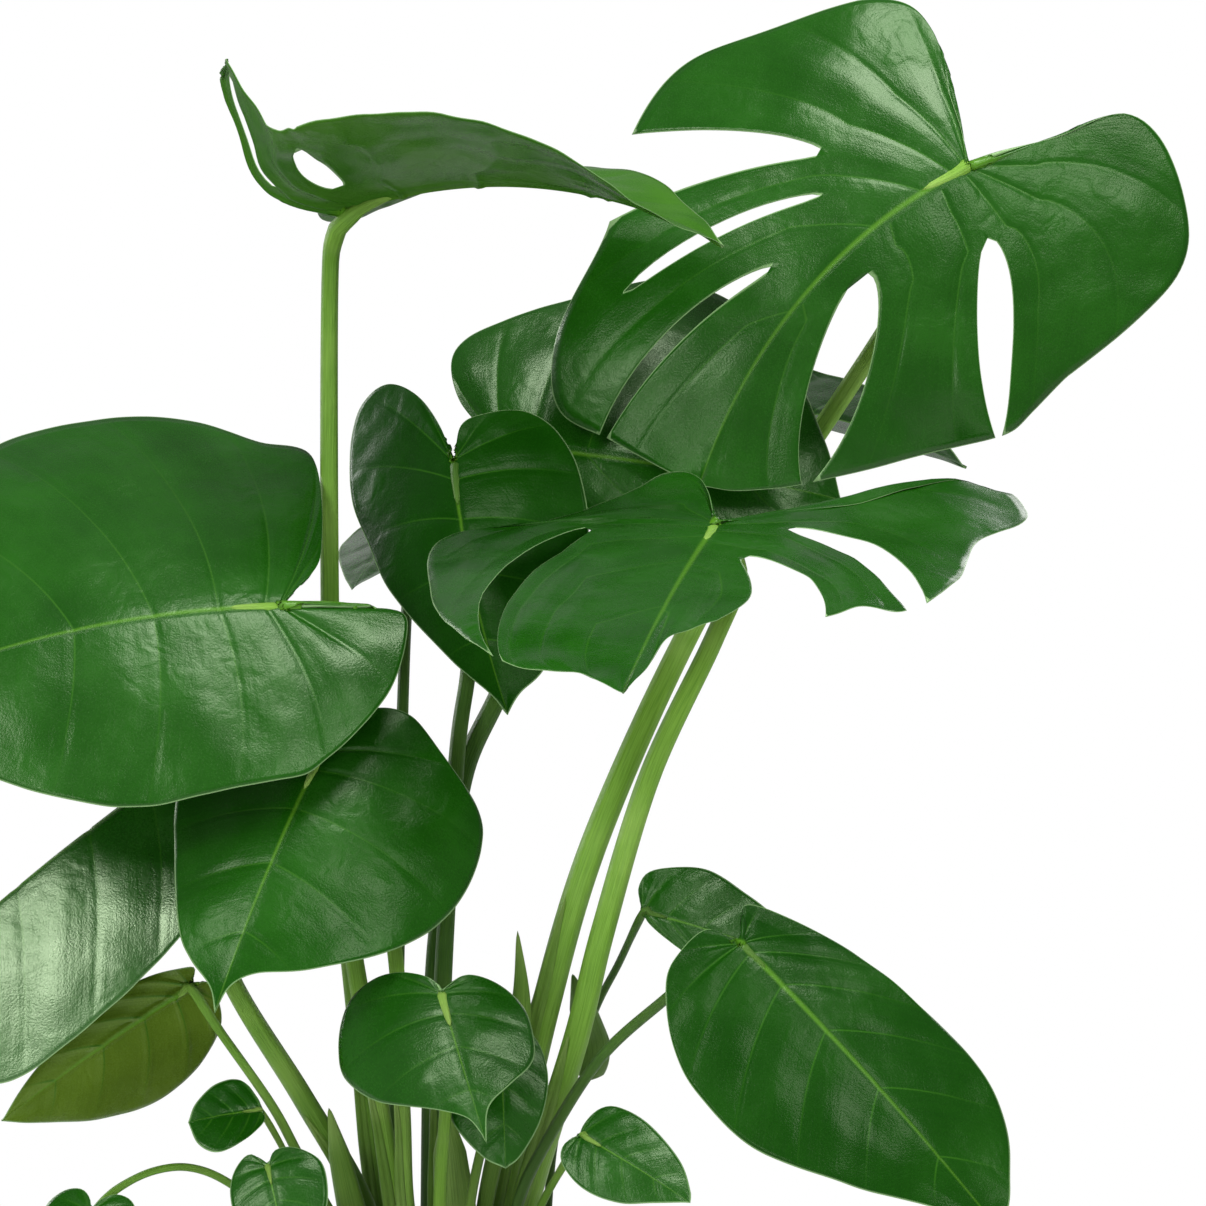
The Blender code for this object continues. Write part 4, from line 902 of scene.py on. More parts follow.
# painted shade: centre_dark, right_low and behind_right get the dark look because they sit in the shade of
# other leaves
LOOK_OF = {"top_left": "fresh", "low_left_pale": "olive", "rolled_young": "fresh", "centre_dark": "dark",
           "right_low": "dark", "behind_right": "dark", "centre_split": "deep"}
WAX_LEVEL = {"deep": 0.30, "dark": 0.17, "fresh": 0.22, "olive": 0.22}
GLOSSY = {"left_glossy": 0.80, "front_centre": 0.36, "left_middle": 0.20, "top_left": 0.04,
          "centre_dark": 0.08, "right_low": 0.13}


def leaf_finishes(name):
    """The upper skin, the under skin and the rim of one blade; the rim and a line along each margin are
    painted pale, a painted highlight.
    """
    look = LOOK_OF.get(name, "deep")
    deep, fresh = LEAF_LOOKS[look]
    level = GLOSSY.get(name, WAX_LEVEL[look])
    leaf = LEAVES[name]
    size = min(1.0, max(0.3, (Vector(leaf["tip"]) - Vector(leaf["joint"])).length / 230))
    # the last colour of each skin is the painted highlight along the margin
    upper = leaf_skin(f"{name} upper skin", deep, fresh, (0.024, 0.105, 0.006), (0.070, 0.200, 0.010),
                      0.25, level, 1.0, size, (0.20, 0.34, 0.14))
    pale = [tuple(0.60 * c + o for c, o in zip(shade, (0.012, 0.036, 0.003))) for shade in (deep, fresh)]
    under = leaf_skin(f"{name} under skin", *pale, (0.055, 0.14, 0.018), (0.11, 0.24, 0.03),
                      0.62, 0.03, 1.3, size, (0.16, 0.27, 0.09))
    # painted highlight: the cut edge is painted pale green
    rim = leaf_skin(f"{name} rim", (0.10, 0.20, 0.06), (0.16, 0.28, 0.09), (0.16, 0.28, 0.09),
                    (0.16, 0.28, 0.09), 0.5, 0.3, 1.0, size, (0.18, 0.30, 0.11))
    return upper, under, rim


print("leaf looks:", len(LEAF_LOOKS))

# %% [markdown]
# Clearing, moving and marking
# Three small helpers come before the blade: one that deselects everything, one that moves a grid's
# points to given places, and one that writes two numbers for each point into a UV layer.

# %% Grid helpers
def clear_selection():
    """Leaves edit mode and deselects everything."""
    if bpy.context.object and bpy.context.object.mode != "OBJECT":
        bpy.ops.object.mode_set(mode="OBJECT")
    bpy.ops.object.select_all(action="DESELECT")


def write_layer(mesh, layer, first, second):
    """Writes two numbers for each vertex into a UV layer."""
    corner = np.empty(len(mesh.loops), int)
    mesh.loops.foreach_get("vertex_index", corner)
    uv = mesh.uv_layers.get(layer) or mesh.uv_layers.new(name=layer)
    uv.data.foreach_set("uv", np.stack([first[corner], second[corner]], axis=1).ravel())


def grid_object(name, columns, rows):
    """A grid primitive, and which column and row each of its points stands in."""
    clear_selection()
    bpy.ops.mesh.primitive_grid_add(x_subdivisions=columns - 1, y_subdivisions=rows - 1, size=1)
    made = bpy.context.object
    made.name = name
    made.data.name = name
    flat = np.empty(len(made.data.vertices) * 3)
    made.data.vertices.foreach_get("co", flat)
    flat = flat.reshape(-1, 3)
    column = np.round((flat[:, 0] + 0.5) * (columns - 1)).astype(int)
    row = np.round((flat[:, 1] + 0.5) * (rows - 1)).astype(int)
    return made, column, row


def move_points(made, points):
    """Puts every point of a mesh in its place."""
    made.data.vertices.foreach_set("co", np.asarray(points, float).ravel())
    made.data.update()


tried, tried_column, tried_row = grid_object("tried grid", 4, 3)
print("a grid of 4 by 3 has", len(tried.data.vertices), "points, the last in column", tried_column.max(),
      "and row", tried_row.max())
tried_mesh = tried.data
bpy.data.objects.remove(tried, do_unlink=True)
bpy.data.meshes.remove(tried_mesh)

# %% [markdown]
# Making a blade
# A blade could be drawn as a flat outline and bent with modifiers, but its veins would not follow. A
# grid primitive is used instead. Each of its points is moved to its place on the bent blade, the
# columns that a split opens are deleted, and Solidify gives the thickness, more under the veins. The cut
# sheet is mended before that, because a face too many on one edge would leave the blade open.

# %% Mending the sheet
WELD = 0.00008           # metres: points closer together than this become one


def mended(made):
    """Takes off faces that hang on an edge as a third, and parts corners that only touch in a point,
    so that the sheet closes cleanly when it gets its thickness."""
    sheet = bmesh.new()
    sheet.from_mesh(made.data)
    crowded = [edge for edge in sheet.edges if len(edge.link_faces) > 2]
    while crowded:
        smallest = {min(edge.link_faces, key=lambda face: face.calc_area()) for edge in crowded}
        bmesh.ops.delete(sheet, geom=list(smallest), context="FACES")
        crowded = [edge for edge in sheet.edges if len(edge.link_faces) > 2]
    loose = [corner for corner in sheet.verts if not corner.link_faces]
    bmesh.ops.delete(sheet, geom=loose, context="VERTS")
    for corner in list(sheet.verts):
        if sum(edge.is_boundary for edge in corner.link_edges) > 2:
            bmesh.utils.vert_separate(corner, [])
    sheet.to_mesh(made.data)
    sheet.free()


print("points closer than", round(WELD * 1000, 3), "mm are welded")

# %% [markdown]
# Thickness
# Solidify thickens the sheet on its under side. A vertex group tells it how much: most under the
# midrib near the stalk, less under the side veins, and least at the margin.

# %% Thickness
RIB_THICKNESS = 3.4      # millimetres under the midrib near the stalk
BLADE_THICKNESS = 0.7
TAPER_END = 1.05         # lengths from the stalk where the raised midrib has run out


def thicken(made, leaf, grid):
    """Gives the blade its thickness on the under side, with a raised midrib and side veins."""
    mesh = made.data
    corner = np.empty(len(mesh.loops), int)
    mesh.loops.foreach_get("vertex_index", corner)
    layers = {}
    for layer in ("veins", "edges"):
        values = np.empty(len(mesh.loops) * 2)
        mesh.uv_layers[layer].data.foreach_get("uv", values)
        layers[layer] = np.zeros((len(mesh.vertices), 2))
        layers[layer][corner] = values.reshape(-1, 2)
    phase, spread = layers["veins"].T
    rib, margin = layers["edges"].T
    from_vein = np.abs(phase - np.round(phase)) * spread
    size = min(1.0, grid["length"] / 220)
    weight = BLADE_THICKNESS / RIB_THICKNESS * np.clip(0.35 + margin / 6, 0.35, 1)
    weight = weight + 0.20 * size * np.exp(-(from_vein / 1.4) ** 2) * np.clip(margin / 40, 0, 1)
    place = np.empty(len(mesh.vertices) * 3)
    mesh.vertices.foreach_get("co", place)
    from_joint = np.linalg.norm(place.reshape(-1, 3) / MM - np.array(leaf["joint"]), axis=1)
    taper = np.clip(1 - from_joint / (TAPER_END * grid["length"]), 0, 1)
    weight = np.clip(weight + 0.8 * size * taper * np.exp(-(rib / 2.4) ** 2), 0, 1)
    group = made.vertex_groups.new(name="thickness")
    for index, value in enumerate(weight):
        group.add([index], float(value), "REPLACE")
    skin = made.modifiers.new("thickness", "SOLIDIFY")
    skin.thickness = RIB_THICKNESS * MM
    skin.offset = -1
    skin.use_even_offset = False
    skin.vertex_group = "thickness"
    skin.thickness_vertex_group = 0.0
    skin.material_offset = 1
    skin.material_offset_rim = 2
    bpy.ops.object.modifier_apply(modifier="thickness")
    made.vertex_groups.clear()


print("blade thickness:", BLADE_THICKNESS, "mm, with the midrib", RIB_THICKNESS, "mm")

# %% [markdown]
# One blade from start to finish
# The grid primitive is moved into shape, marked, cut, welded, mended and thickened, and then gets its
# three finishes.

# %% Blade maker
def make_blade(name, seed):
    """One finished blade, from its entry in the list of leaves."""
    leaf = {**DEFAULTS, **LEAVES[name], "rumpled": RUMPLED.get(name, 1.0)}
    grid = fine_blade(leaf)
    points = relieved(leaf, grid, seed)
    columns, rows = grid["reach"].shape
    made, column, row = grid_object(f"blade_{name}", columns, rows)
    matrix = np.array(place_matrix(leaf))
    placed = points[column, row] @ matrix[:3, :3].T + matrix[:3, 3]
    move_points(made, placed)
    write_layer(made.data, "veins", grid["phase"][column, row], grid["spread"][column, row])
    write_layer(made.data, "edges", grid["rib"][column, row], grid["margin"][column, row])
    write_layer(made.data, "run", grid["flat"][column, row, 0], np.abs(grid["reach"][column, row]))
    bpy.ops.object.mode_set(mode="EDIT")
    bpy.ops.mesh.select_mode(type="FACE")
    bpy.ops.mesh.select_all(action="DESELECT")
    bpy.ops.object.mode_set(mode="OBJECT")
    for face in made.data.polygons:
        corners = list(face.vertices)
        face.select = (min(column[corners]), min(row[corners])) in grid["cut faces"]
    bpy.ops.object.mode_set(mode="EDIT")
    bpy.ops.mesh.delete(type="FACE")
    bpy.ops.mesh.select_all(action="SELECT")
    bpy.ops.mesh.remove_doubles(threshold=WELD)
    bpy.ops.mesh.flip_normals()
    bpy.ops.object.mode_set(mode="OBJECT")
    mended(made)
    thicken(made, leaf, grid)
    for finish in leaf_finishes(name):
        made.data.materials.append(finish)
    bpy.ops.object.shade_smooth()
    return made


print("blade maker ready for", len(LEAVES) - 1, "open leaves")

# %% [markdown]
# The blades
# Every blade is made by the same steps, each with its own seed for its uneven waves. It then stands in for
# the plain solid of its leaf, which stays underneath for the physics, hidden.

# %% All blades
ROLLED = "rolled_young"  # still shut like a scroll, so it is made with the sheaths below
blades = {}
for seed, name in enumerate(LEAVES):
    if name == ROLLED:
        continue
    blade = make_blade(name, seed)
    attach(blade, "root")
    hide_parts(f"leaf_{name}")
    blades[name] = blade
print("blades:", len(blades), "faces:", sum(len(b.data.polygons) for b in blades.values()))

# %% [markdown]
# The stalks
# A leaf stalk is a long green rod that thins upwards. A shallow channel runs along its inner side, the
# skin shows lengthwise fibres, and just under the blade it thickens into a paler knee that turns the
# blade to the light. It is made like the blades, from a grid that is rolled up along the stalk's line.

# %% Stalk finish
def stalk_skin(name, deep, fresh, pale):
    """Green skin with lengthwise fibres, a paler knee, slight blotches and painted shade low down."""
    finish, tree, shader = new_finish(name)
    here = place_on(tree)
    along, around = split(tree, place_on(tree, "stem"))
    rolled = tree.nodes.new("ShaderNodeCombineXYZ")
    put(rolled.inputs["X"], maths(tree, "MULTIPLY", along, 0.012))
    put(rolled.inputs["Y"], maths(tree, "MULTIPLY", maths(tree, "SINE", around), 4.0))
    put(rolled.inputs["Z"], maths(tree, "MULTIPLY", maths(tree, "COSINE", around), 4.0))
    fibres = cloudy(tree, rolled.outputs["Vector"], 3.0, 3.0, 0.6)
    patches = cloudy(tree, here, 18.0, 3.0)
    knee, _ = split(tree, place_on(tree, "knee"))
    colour = blended(tree, ramp(tree, fibres, 0.32, 0.68), deep, fresh)
    colour = blended(tree, ramp(tree, patches, 0.45, 0.75, 0.0, 0.5), colour, pale)
    # painted shade: darker over the lowest 60 to 260 mm, near the soil under the leaves
    colour = blended(tree, ramp(tree, along, 60.0, 260.0, 0.45, 0.0), colour, [0.45 * c for c in deep])
    colour = blended(tree, maths(tree, "MULTIPLY", knee, 0.7), colour, pale)
    put(shader.inputs["Base Color"], colour)
    put(shader.inputs["Roughness"], ramp(tree, fibres, 0.3, 0.7, 0.36, 0.52))
    shader.inputs["Specular IOR Level"].default_value = 0.22
    raised(tree, shader, fibres, 0.0006)
    return finish


# painted light and painted shade: besides the plain stalk skin there is a lighter copy for stalks the light
# should reach, and a darker copy for stalks in the shade of the leaves
stalk_green = stalk_skin("stalk skin", (0.080, 0.200, 0.014), (0.140, 0.300, 0.030),
                         (0.24, 0.40, 0.07))
stalk_painted_light = stalk_skin("stalk skin with painted light", (0.115, 0.270, 0.020), (0.190, 0.380, 0.042),
                          (0.32, 0.50, 0.11))
stalk_painted_shade = stalk_skin("stalk skin with painted shade", (0.028, 0.090, 0.008), (0.055, 0.140, 0.014),
                         (0.10, 0.22, 0.03))
print("stalk finishes:", stalk_green.name, stalk_painted_light.name, stalk_painted_shade.name, sep=", ")

# %% [markdown]
# Rolling a tube
# A bevelled curve would give a round rod, but no channel and no closed round ends. So a grid is rolled
# up round the line instead: its columns are rings, its rows run along, and its seam is welded shut.

# %% Tube maker
SOIL_CROWN = 202.0       # the height of the soil where the stalks leave it, in millimetres
TUBE_SIDES = 20
KNEE_LENGTH = 26.0       # millimetres under the blade
TUBE_WELD = 0.00002      # metres


def make_tube(name, line, radius, section=None):
    """A rolled grid along a line: radius gives each ring's size, and section its outline if not round.

    Both ends run out to a point, so the skin is closed."""
    rings = len(line)
    made, column, row = grid_object(name, rings, TUBE_SIDES + 1)
    ahead = np.gradient(line, axis=0)
    ahead /= np.linalg.norm(ahead, axis=1, keepdims=True)
    side = np.zeros_like(ahead)
    side[0] = np.cross(ahead[0], (0.0, 1.0, 0.0))
    for k in range(1, rings):
        side[k] = side[k - 1] - (side[k - 1] @ ahead[k]) * ahead[k]
        side[k] /= np.linalg.norm(side[k])
    front = np.cross(side, ahead)
    turn = 2 * math.pi * row / TUBE_SIDES
    size = np.asarray(radius)[column]
    if section:
        size = size * section(turn, column / (rings - 1))
    placed = (line[column] + side[column] * (size * np.cos(turn))[:, None]
              + front[column] * (size * np.sin(turn))[:, None])
    move_points(made, placed * MM)
    length = np.concatenate([[0], np.cumsum(np.linalg.norm(np.diff(line, axis=0), axis=1))])
    write_layer(made.data, "stem", length[column], turn)
    write_layer(made.data, "knee", np.clip(1 - (length[-1] - length[column]) / KNEE_LENGTH, 0, 1), turn)
    bpy.ops.object.mode_set(mode="EDIT")
    bpy.ops.mesh.select_all(action="SELECT")
    bpy.ops.mesh.remove_doubles(threshold=TUBE_WELD)
    bpy.ops.mesh.normals_make_consistent(inside=False)
    bpy.ops.object.mode_set(mode="OBJECT")
    bpy.ops.object.shade_smooth()
    return made


def rounded_ends(length, total, size):
    """Factor that runs a tube out to a closed round end over its last millimetres."""
    to_end = np.minimum(length, total - length)
    return np.sqrt(np.clip(1 - (1 - np.clip(to_end / size, 0, 1)) ** 2, 0, 1))


print("a tube 100 mm long is open to", rounded_ends(np.array([0.0, 50.0]), 100.0, 5.0).round(2).tolist(),
      "of its size at its end and its middle")

# %% [markdown]
# The stalks in their places
# Each stalk leaves the soil straight up, follows its own points and runs in under the blade as the
# start of the midrib. It is rolled with a shallow channel and swells a little at the knee.

# %% All stalks
STALK_RINGS = 110
ROOTED = 12.0            # millimetres that a stalk reaches down into the soil
STALK_RISE = 8.0         # millimetres that it rises straight up out of it
RIB_RUN = 7.0            # how far the stalk runs on under the blade, in radii of its upper end
KNEE_SWELL = 0.16
# stalks that get the painted light skin, and stalks that get the painted shade skin
STALKS_WITH_PAINTED_LIGHT = ("top_right", "centre_split", "left_large", "left_middle", "front_centre")
STALKS_WITH_PAINTED_SHADE = ("behind_top", "behind_right", "behind_centre", "centre_dark", "right_low", "right_small")


def channelled(turn, share):
    """Nearly round, with a shallow channel along one side and faint ridges."""
    channel = np.exp(-((((turn / (2 * math.pi) - 0.75) + 0.5) % 1 - 0.5) / 0.075) ** 2)
    return 1 - 0.13 * channel + 0.018 * np.cos(6 * turn)


for name, leaf in LEAVES.items():
    full = {**DEFAULTS, **leaf}
    matrix = place_matrix(full).to_3x3()
    face, ahead = matrix.col[2].normalized(), matrix.col[1].normalized()
    joint = Vector(leaf["joint"])
    low, high = leaf["stalk_radius"]
    x, y = leaf["stalk"][0]
    route = [(x, y, SOIL_CROWN - ROOTED), (x, y, SOIL_CROWN + STALK_RISE), *leaf["stalk"][1:],
             tuple(joint - face * 1.5 * high), tuple(joint - face * 0.75 * high + ahead * 2.2 * high),
             tuple(joint - face * 0.5 * high + ahead * RIB_RUN * high)]
    line = smooth_line(route, STALK_RINGS)
    length = np.concatenate([[0], np.cumsum(np.linalg.norm(np.diff(line, axis=0), axis=1))])
    total = length[-1]
    to_joint = total - RIB_RUN * high - length
    radius = low + (high - low) * np.clip(length / (total - RIB_RUN * high), 0, 1)
    knee = np.clip(1 - np.abs(to_joint - 0.45 * KNEE_LENGTH) / (0.75 * KNEE_LENGTH), 0, 1)
    radius = radius * (1 + KNEE_SWELL * knee**0.8)
    radius = radius * np.clip(0.35 + 0.65 * np.clip(1 + to_joint / (RIB_RUN * high), 0, 1), 0, 1)
    radius = radius * rounded_ends(length, total, 1.5 * high)
    stalk = make_tube(f"petiole_{name}", line, radius, channelled)
    # lit stalks get painted light, stalks in the shade of the leaves get painted shade
    skin = stalk_painted_shade if name in STALKS_WITH_PAINTED_SHADE else stalk_painted_light if name in STALKS_WITH_PAINTED_LIGHT else stalk_green
    stalk.data.materials.append(skin)
    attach(stalk, "root")
    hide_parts(f"stalk_{name}")
print("stalks:", len(LEAVES))

# %% [markdown]
# The sheaths
# Between the stalks stand three pointed sheaths, which wrapped a young leaf before it opened. Each is
# a thin fold, widest low down and sharp at the top, keeled on its back and pale green.

# %% All sheaths
def keeled(turn, share):
    """A folded outline: flat across the open side, with a keel on the back."""
    keel = np.exp(-(((turn / (2 * math.pi)) - 0.25) / 0.05) ** 2)
    return 0.80 + 0.20 * np.abs(np.cos(turn)) ** 3 + 0.16 * keel


def grown(shares, sizes, count):
    """A radius for each ring, eased between a few sizes, with both ends closed."""
    share = np.linspace(0, 1, count)
    return np.interp(share, shares, sizes) * rounded_ends(share * 100, 100, 3)


SHEATH_RINGS = 60
SHEATH_ROOTED = 10.0     # millimetres that a sheath reaches down into the soil
SHEATH_SIZES = {"sheath_centre": [10, 13, 9, 1], "sheath_left": [5, 9, 6, 0.8],
                "sheath_right": [3.6, 5, 6, 0.6]}
sheath_skin = stalk_skin("sheath skin", (0.095, 0.220, 0.022), (0.170, 0.320, 0.045),
                         (0.28, 0.42, 0.11))
for name, route in SHEATHS.items():
    x, y = route[0]
    line = smooth_line([(x, y, SOIL_CROWN - SHEATH_ROOTED), *route[1:]], SHEATH_RINGS)
    radius = grown([0, 0.45, 0.8, 1], SHEATH_SIZES[name], SHEATH_RINGS)
    piece = make_tube(f"spathe_{name.removeprefix('sheath_')}", line, radius, keeled)
    piece.data.materials.append(sheath_skin)
    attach(piece, "root")
    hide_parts(name)
print("sheaths:", len(SHEATHS))

# %% [markdown]
# The leaf that is still rolled up
# The youngest leaf is shut like a scroll. Seen from outside it is one smooth spindle with a seam, so it
# is rolled as a tube too, swollen low down and drawn out to a point.

# %% Rolled leaf
rolled_skin = stalk_skin("rolled leaf skin", (0.075, 0.170, 0.022), (0.130, 0.250, 0.045),
                         (0.19, 0.31, 0.08))
joint, tip = LEAVES[ROLLED]["joint"], LEAVES[ROLLED]["tip"]
line = smooth_line([joint, (joint[0] + 5, joint[1], joint[2] + 12),
                    (joint[0] + 2, joint[1] + 3, joint[2] + 30), (tip[0], tip[1], tip[2] + 6)],
                   SHEATH_RINGS)
scroll = grown([0, 0.12, 0.35, 0.7, 1], [3, 9, 10.5, 7, 0.6], SHEATH_RINGS)
piece = make_tube("blade_rolled_young", line, scroll, keeled)
piece.data.materials.append(rolled_skin)
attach(piece, "root")
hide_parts(f"leaf_{ROLLED}")
print("rolled leaf faces:", len(piece.data.polygons))

# %% [markdown]
# Wings along the stalks
# The older stalks carry a thin wing up their lower part, left over from holding the next leaf. Each is
# a flattened tube laid along its stalk, and it stops at its own share of the stalk's length.

# %% Wings
WING_RINGS = 200         # rings along the whole stalk, of which a wing keeps its share
WING_SIDE = (-0.55, -0.80, 0.0)  # which way the wings stand off their stalks
WINGED = {"top_right": 0.34, "centre_split": 0.40, "left_large": 0.38, "left_middle": 0.45,
          "top_left": 0.30, "left_glossy": 0.40, "centre_dark": 0.30}


def pressed(turn, share):
    """Flattened to a third on two sides, for a thin wing."""
    return 0.34 + 0.66 * np.abs(np.cos(turn)) ** 1.5


for name, height in WINGED.items():
    leaf = LEAVES[name]
    x, y = leaf["stalk"][0]
    line = smooth_line([(x, y, SOIL_CROWN - ROOTED), (x, y, SOIL_CROWN + STALK_RISE), *leaf["stalk"][1:]],
                       WING_RINGS)
    line = line[:int(WING_RINGS * height)]
    size = leaf["stalk_radius"][0]
    side = np.array(WING_SIDE) * size * 0.82
    lean = np.clip((np.linspace(0, 1, len(line)) - 0.8) / 0.2, 0, 1)[:, None]
    line = line + side * (1 + 0.35 * lean)
    widths = grown([0, 0.6, 0.85, 1], [0.7 * size, 0.62 * size, 0.4 * size, 0.3], len(line))
    wing = make_tube(f"wing_{name}", line, widths, pressed)
    wing.data.materials.append(sheath_skin)
    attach(wing, "root")
print("wings:", len(WINGED))

# %% [markdown]
# The pot
# The pot is a plain nursery pot, moulded in dark plastic: a tapering wall, a deeper band round the rim
# and a flat foot with drain holes. It is pulled up from a circle ring by ring, the way a thrower
# would, and its edges are rounded by a bevel.

# %% Pot
_, pot_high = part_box("pot")
POT_TOP = pot_high[2]
RIM_RADIUS = pot_high[0]
FOOT_RADIUS = 0.090
WALL = 0.003
LIP_DROP = 0.022
LIP_OUT = 0.004
POT_FLOOR = 0.004
POT_SIDES = 96
DRAIN_HOLES = 6
DRAIN_RING = 0.062
DRAIN_RADIUS = 0.006


def wall_radius(height):
    """The outside of the pot's wall below the lip."""
    return FOOT_RADIUS + (RIM_RADIUS - LIP_OUT - FOOT_RADIUS) * height / POT_TOP


def turned(name, profile, sides):
    """Pulls a circle through a profile of (radius, height), extruding one ring at a time."""
    clear_selection()
    radius, height = profile[0]
    bpy.ops.mesh.primitive_circle_add(vertices=sides, radius=radius, fill_type="NGON",
                                      location=(0, 0, height))
    made = bpy.context.object
    made.name = name
    made.data.name = name
    bpy.ops.object.transform_apply(location=True)
    bpy.ops.object.mode_set(mode="EDIT")
    bpy.ops.mesh.select_all(action="SELECT")
    for (r0, h0), (r1, h1) in zip(profile, profile[1:]):
        bpy.ops.mesh.extrude_region_move(TRANSFORM_OT_translate={"value": (0, 0, h1 - h0)})
        bpy.ops.transform.resize(value=(r1 / r0, r1 / r0, 1))
    bpy.ops.mesh.select_all(action="SELECT")
    bpy.ops.mesh.normals_make_consistent(inside=False)
    bpy.ops.object.mode_set(mode="OBJECT")
    return made


lip = POT_TOP - LIP_DROP
profile = [(FOOT_RADIUS - 0.003, 0.0015), (FOOT_RADIUS - 0.002, 0.0), (wall_radius(0.004), 0.004),
           (wall_radius(0.012), 0.012), (wall_radius(0.013) + 0.0008, 0.013),
           (wall_radius(0.017) + 0.0008, 0.017), (wall_radius(0.018), 0.018),
           (wall_radius(lip - 0.030), lip - 0.030), (wall_radius(lip - 0.002), lip - 0.002),
           (wall_radius(lip) + LIP_OUT, lip), (RIM_RADIUS, POT_TOP - 0.002),
           (RIM_RADIUS - 0.001, POT_TOP), (wall_radius(POT_TOP) - WALL, POT_TOP),
           (wall_radius(lip) - WALL, lip), (wall_radius(POT_FLOOR) - WALL, POT_FLOOR)]
pot = turned("pot_body", profile, POT_SIDES)
for k in range(DRAIN_HOLES):
    turn = 2 * math.pi * k / DRAIN_HOLES
    clear_selection()
    bpy.ops.mesh.primitive_cylinder_add(
        vertices=24, radius=DRAIN_RADIUS, depth=5 * POT_FLOOR,
        location=(DRAIN_RING * math.cos(turn), DRAIN_RING * math.sin(turn), POT_FLOOR / 2))
    cutter = bpy.context.object
    clear_selection()
    pot.select_set(True)
    bpy.context.view_layer.objects.active = pot
    cut = pot.modifiers.new("drain hole", "BOOLEAN")
    cut.operation = "DIFFERENCE"
    cut.solver = "EXACT"
    cut.object = cutter
    bpy.ops.object.modifier_apply(modifier="drain hole")
    bpy.data.objects.remove(cutter, do_unlink=True)
edge = pot.modifiers.new("rounded edges", "BEVEL")
edge.width = 0.0006
edge.segments = 2
edge.limit_method = "ANGLE"
edge.angle_limit = math.radians(28)
bpy.ops.object.modifier_apply(modifier="rounded edges")
bpy.ops.object.shade_smooth_by_angle(angle=math.radians(35))
print("pot faces:", len(pot.data.polygons))

# %% [markdown]
# The pot's plastic
# Moulded polypropylene is dark grey and slightly dull, with fine pimples, a few pale scuffs that run
# round the wall where pots rub together, and some dust.

# %% Pot plastic
plastic, tree, shader = new_finish("pot plastic")
here = place_on(tree)
speckle = cloudy(tree, here, 1400.0, 2.0, 0.6)
scuffs = cloudy(tree, stretched(tree, here, (30.0, 30.0, 160.0)), 1.0, 4.0, 0.6)
dust = cloudy(tree, here, 14.0, 4.0)
grey = blended(tree, ramp(tree, dust, 0.4, 0.75, 0.0, 0.5), (0.028, 0.029, 0.030), (0.060, 0.058, 0.054))
grey = blended(tree, ramp(tree, scuffs, 0.62, 0.72, 0.0, 0.35), grey, (0.10, 0.10, 0.10))
put(shader.inputs["Base Color"], grey)
put(shader.inputs["Roughness"], ramp(tree, scuffs, 0.3, 0.7, 0.42, 0.58))
raised(tree, shader, speckle, 0.0002)
pot.data.materials.append(plastic)
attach(pot, "root")
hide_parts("pot")
print("pot finish:", plastic.name, "with", len(tree.nodes), "nodes")

# %% [markdown]
# The potting mix
# The mix is dark peat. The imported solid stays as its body, and a lumpy skin is laid over it: a square
# grid pressed round and pushed up and down by noise, which gives clods without any sculpting.

# %% Soil surface
SOIL_RADIUS = 0.109
SOIL_CELLS = 120
SOIL_LUMPS = 0.0022      # metres
SOIL_SLOPE = 0.006       # how much lower the soil is at the wall
SOIL_FLAT = 0.75         # share of the radius that is flat
_, soil_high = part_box("soil")
made, column, row = grid_object("soil_surface", SOIL_CELLS + 1, SOIL_CELLS + 1)
x = (column / SOIL_CELLS - 0.5) * 2
y = (row / SOIL_CELLS - 0.5) * 2
square = np.maximum(np.abs(x), np.abs(y))
round_off = np.where(square > 0, square / np.maximum(np.hypot(x, y), 1e-9), 1)
x, y = x * round_off * SOIL_RADIUS, y * round_off * SOIL_RADIUS
reach = np.hypot(x, y) / SOIL_RADIUS
lumps = np.array([noise.fractal(Vector((a * 90, b * 90, 1.3)), 0.9, 2.1, 4) for a, b in zip(x, y)])
edge_share = np.clip((reach - SOIL_FLAT) / (1 - SOIL_FLAT), 0, 1)
height = soil_high[2] - 0.0005 - SOIL_SLOPE * edge_share + SOIL_LUMPS * lumps
move_points(made, np.stack([x, y, height + 0.0015], axis=1))
soil = made
bpy.ops.object.mode_set(mode="EDIT")
bpy.ops.mesh.select_all(action="SELECT")
bpy.ops.mesh.extrude_region_move(TRANSFORM_OT_translate={"value": (0, 0, -0.008)})
bpy.ops.mesh.select_all(action="SELECT")
bpy.ops.mesh.normals_make_consistent(inside=False)
bpy.ops.object.mode_set(mode="OBJECT")
bpy.ops.object.shade_smooth()

earth, tree, shader = new_finish("potting mix")
here = place_on(tree)
clods = cloudy(tree, here, 130.0, 6.0, 0.65)
fibre = cloudy(tree, here, 700.0, 4.0, 0.7)
brown = blended(tree, ramp(tree, clods, 0.35, 0.65), (0.010, 0.006, 0.004), (0.050, 0.030, 0.018))
brown = blended(tree, ramp(tree, fibre, 0.55, 0.75, 0.0, 0.6), brown, (0.11, 0.07, 0.04))
put(shader.inputs["Base Color"], brown)
shader.inputs["Roughness"].default_value = 0.95
raised(tree, shader, fibre, 0.0012)
soil.data.materials.append(earth)
cad_soil = bpy.data.objects["soil"]
for slot in cad_soil.material_slots:
    slot.material = earth
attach(soil, "root")
print("soil top at", round(soil_high[2] / MM), "mm")

# %% [markdown]
# Bark chips and perlite
# Chips of bark and white crumbs of perlite lie on the mix. A few rough shapes are modelled once and
# scattered in copies, and each one stays far enough in to be clear of the pot's wall.

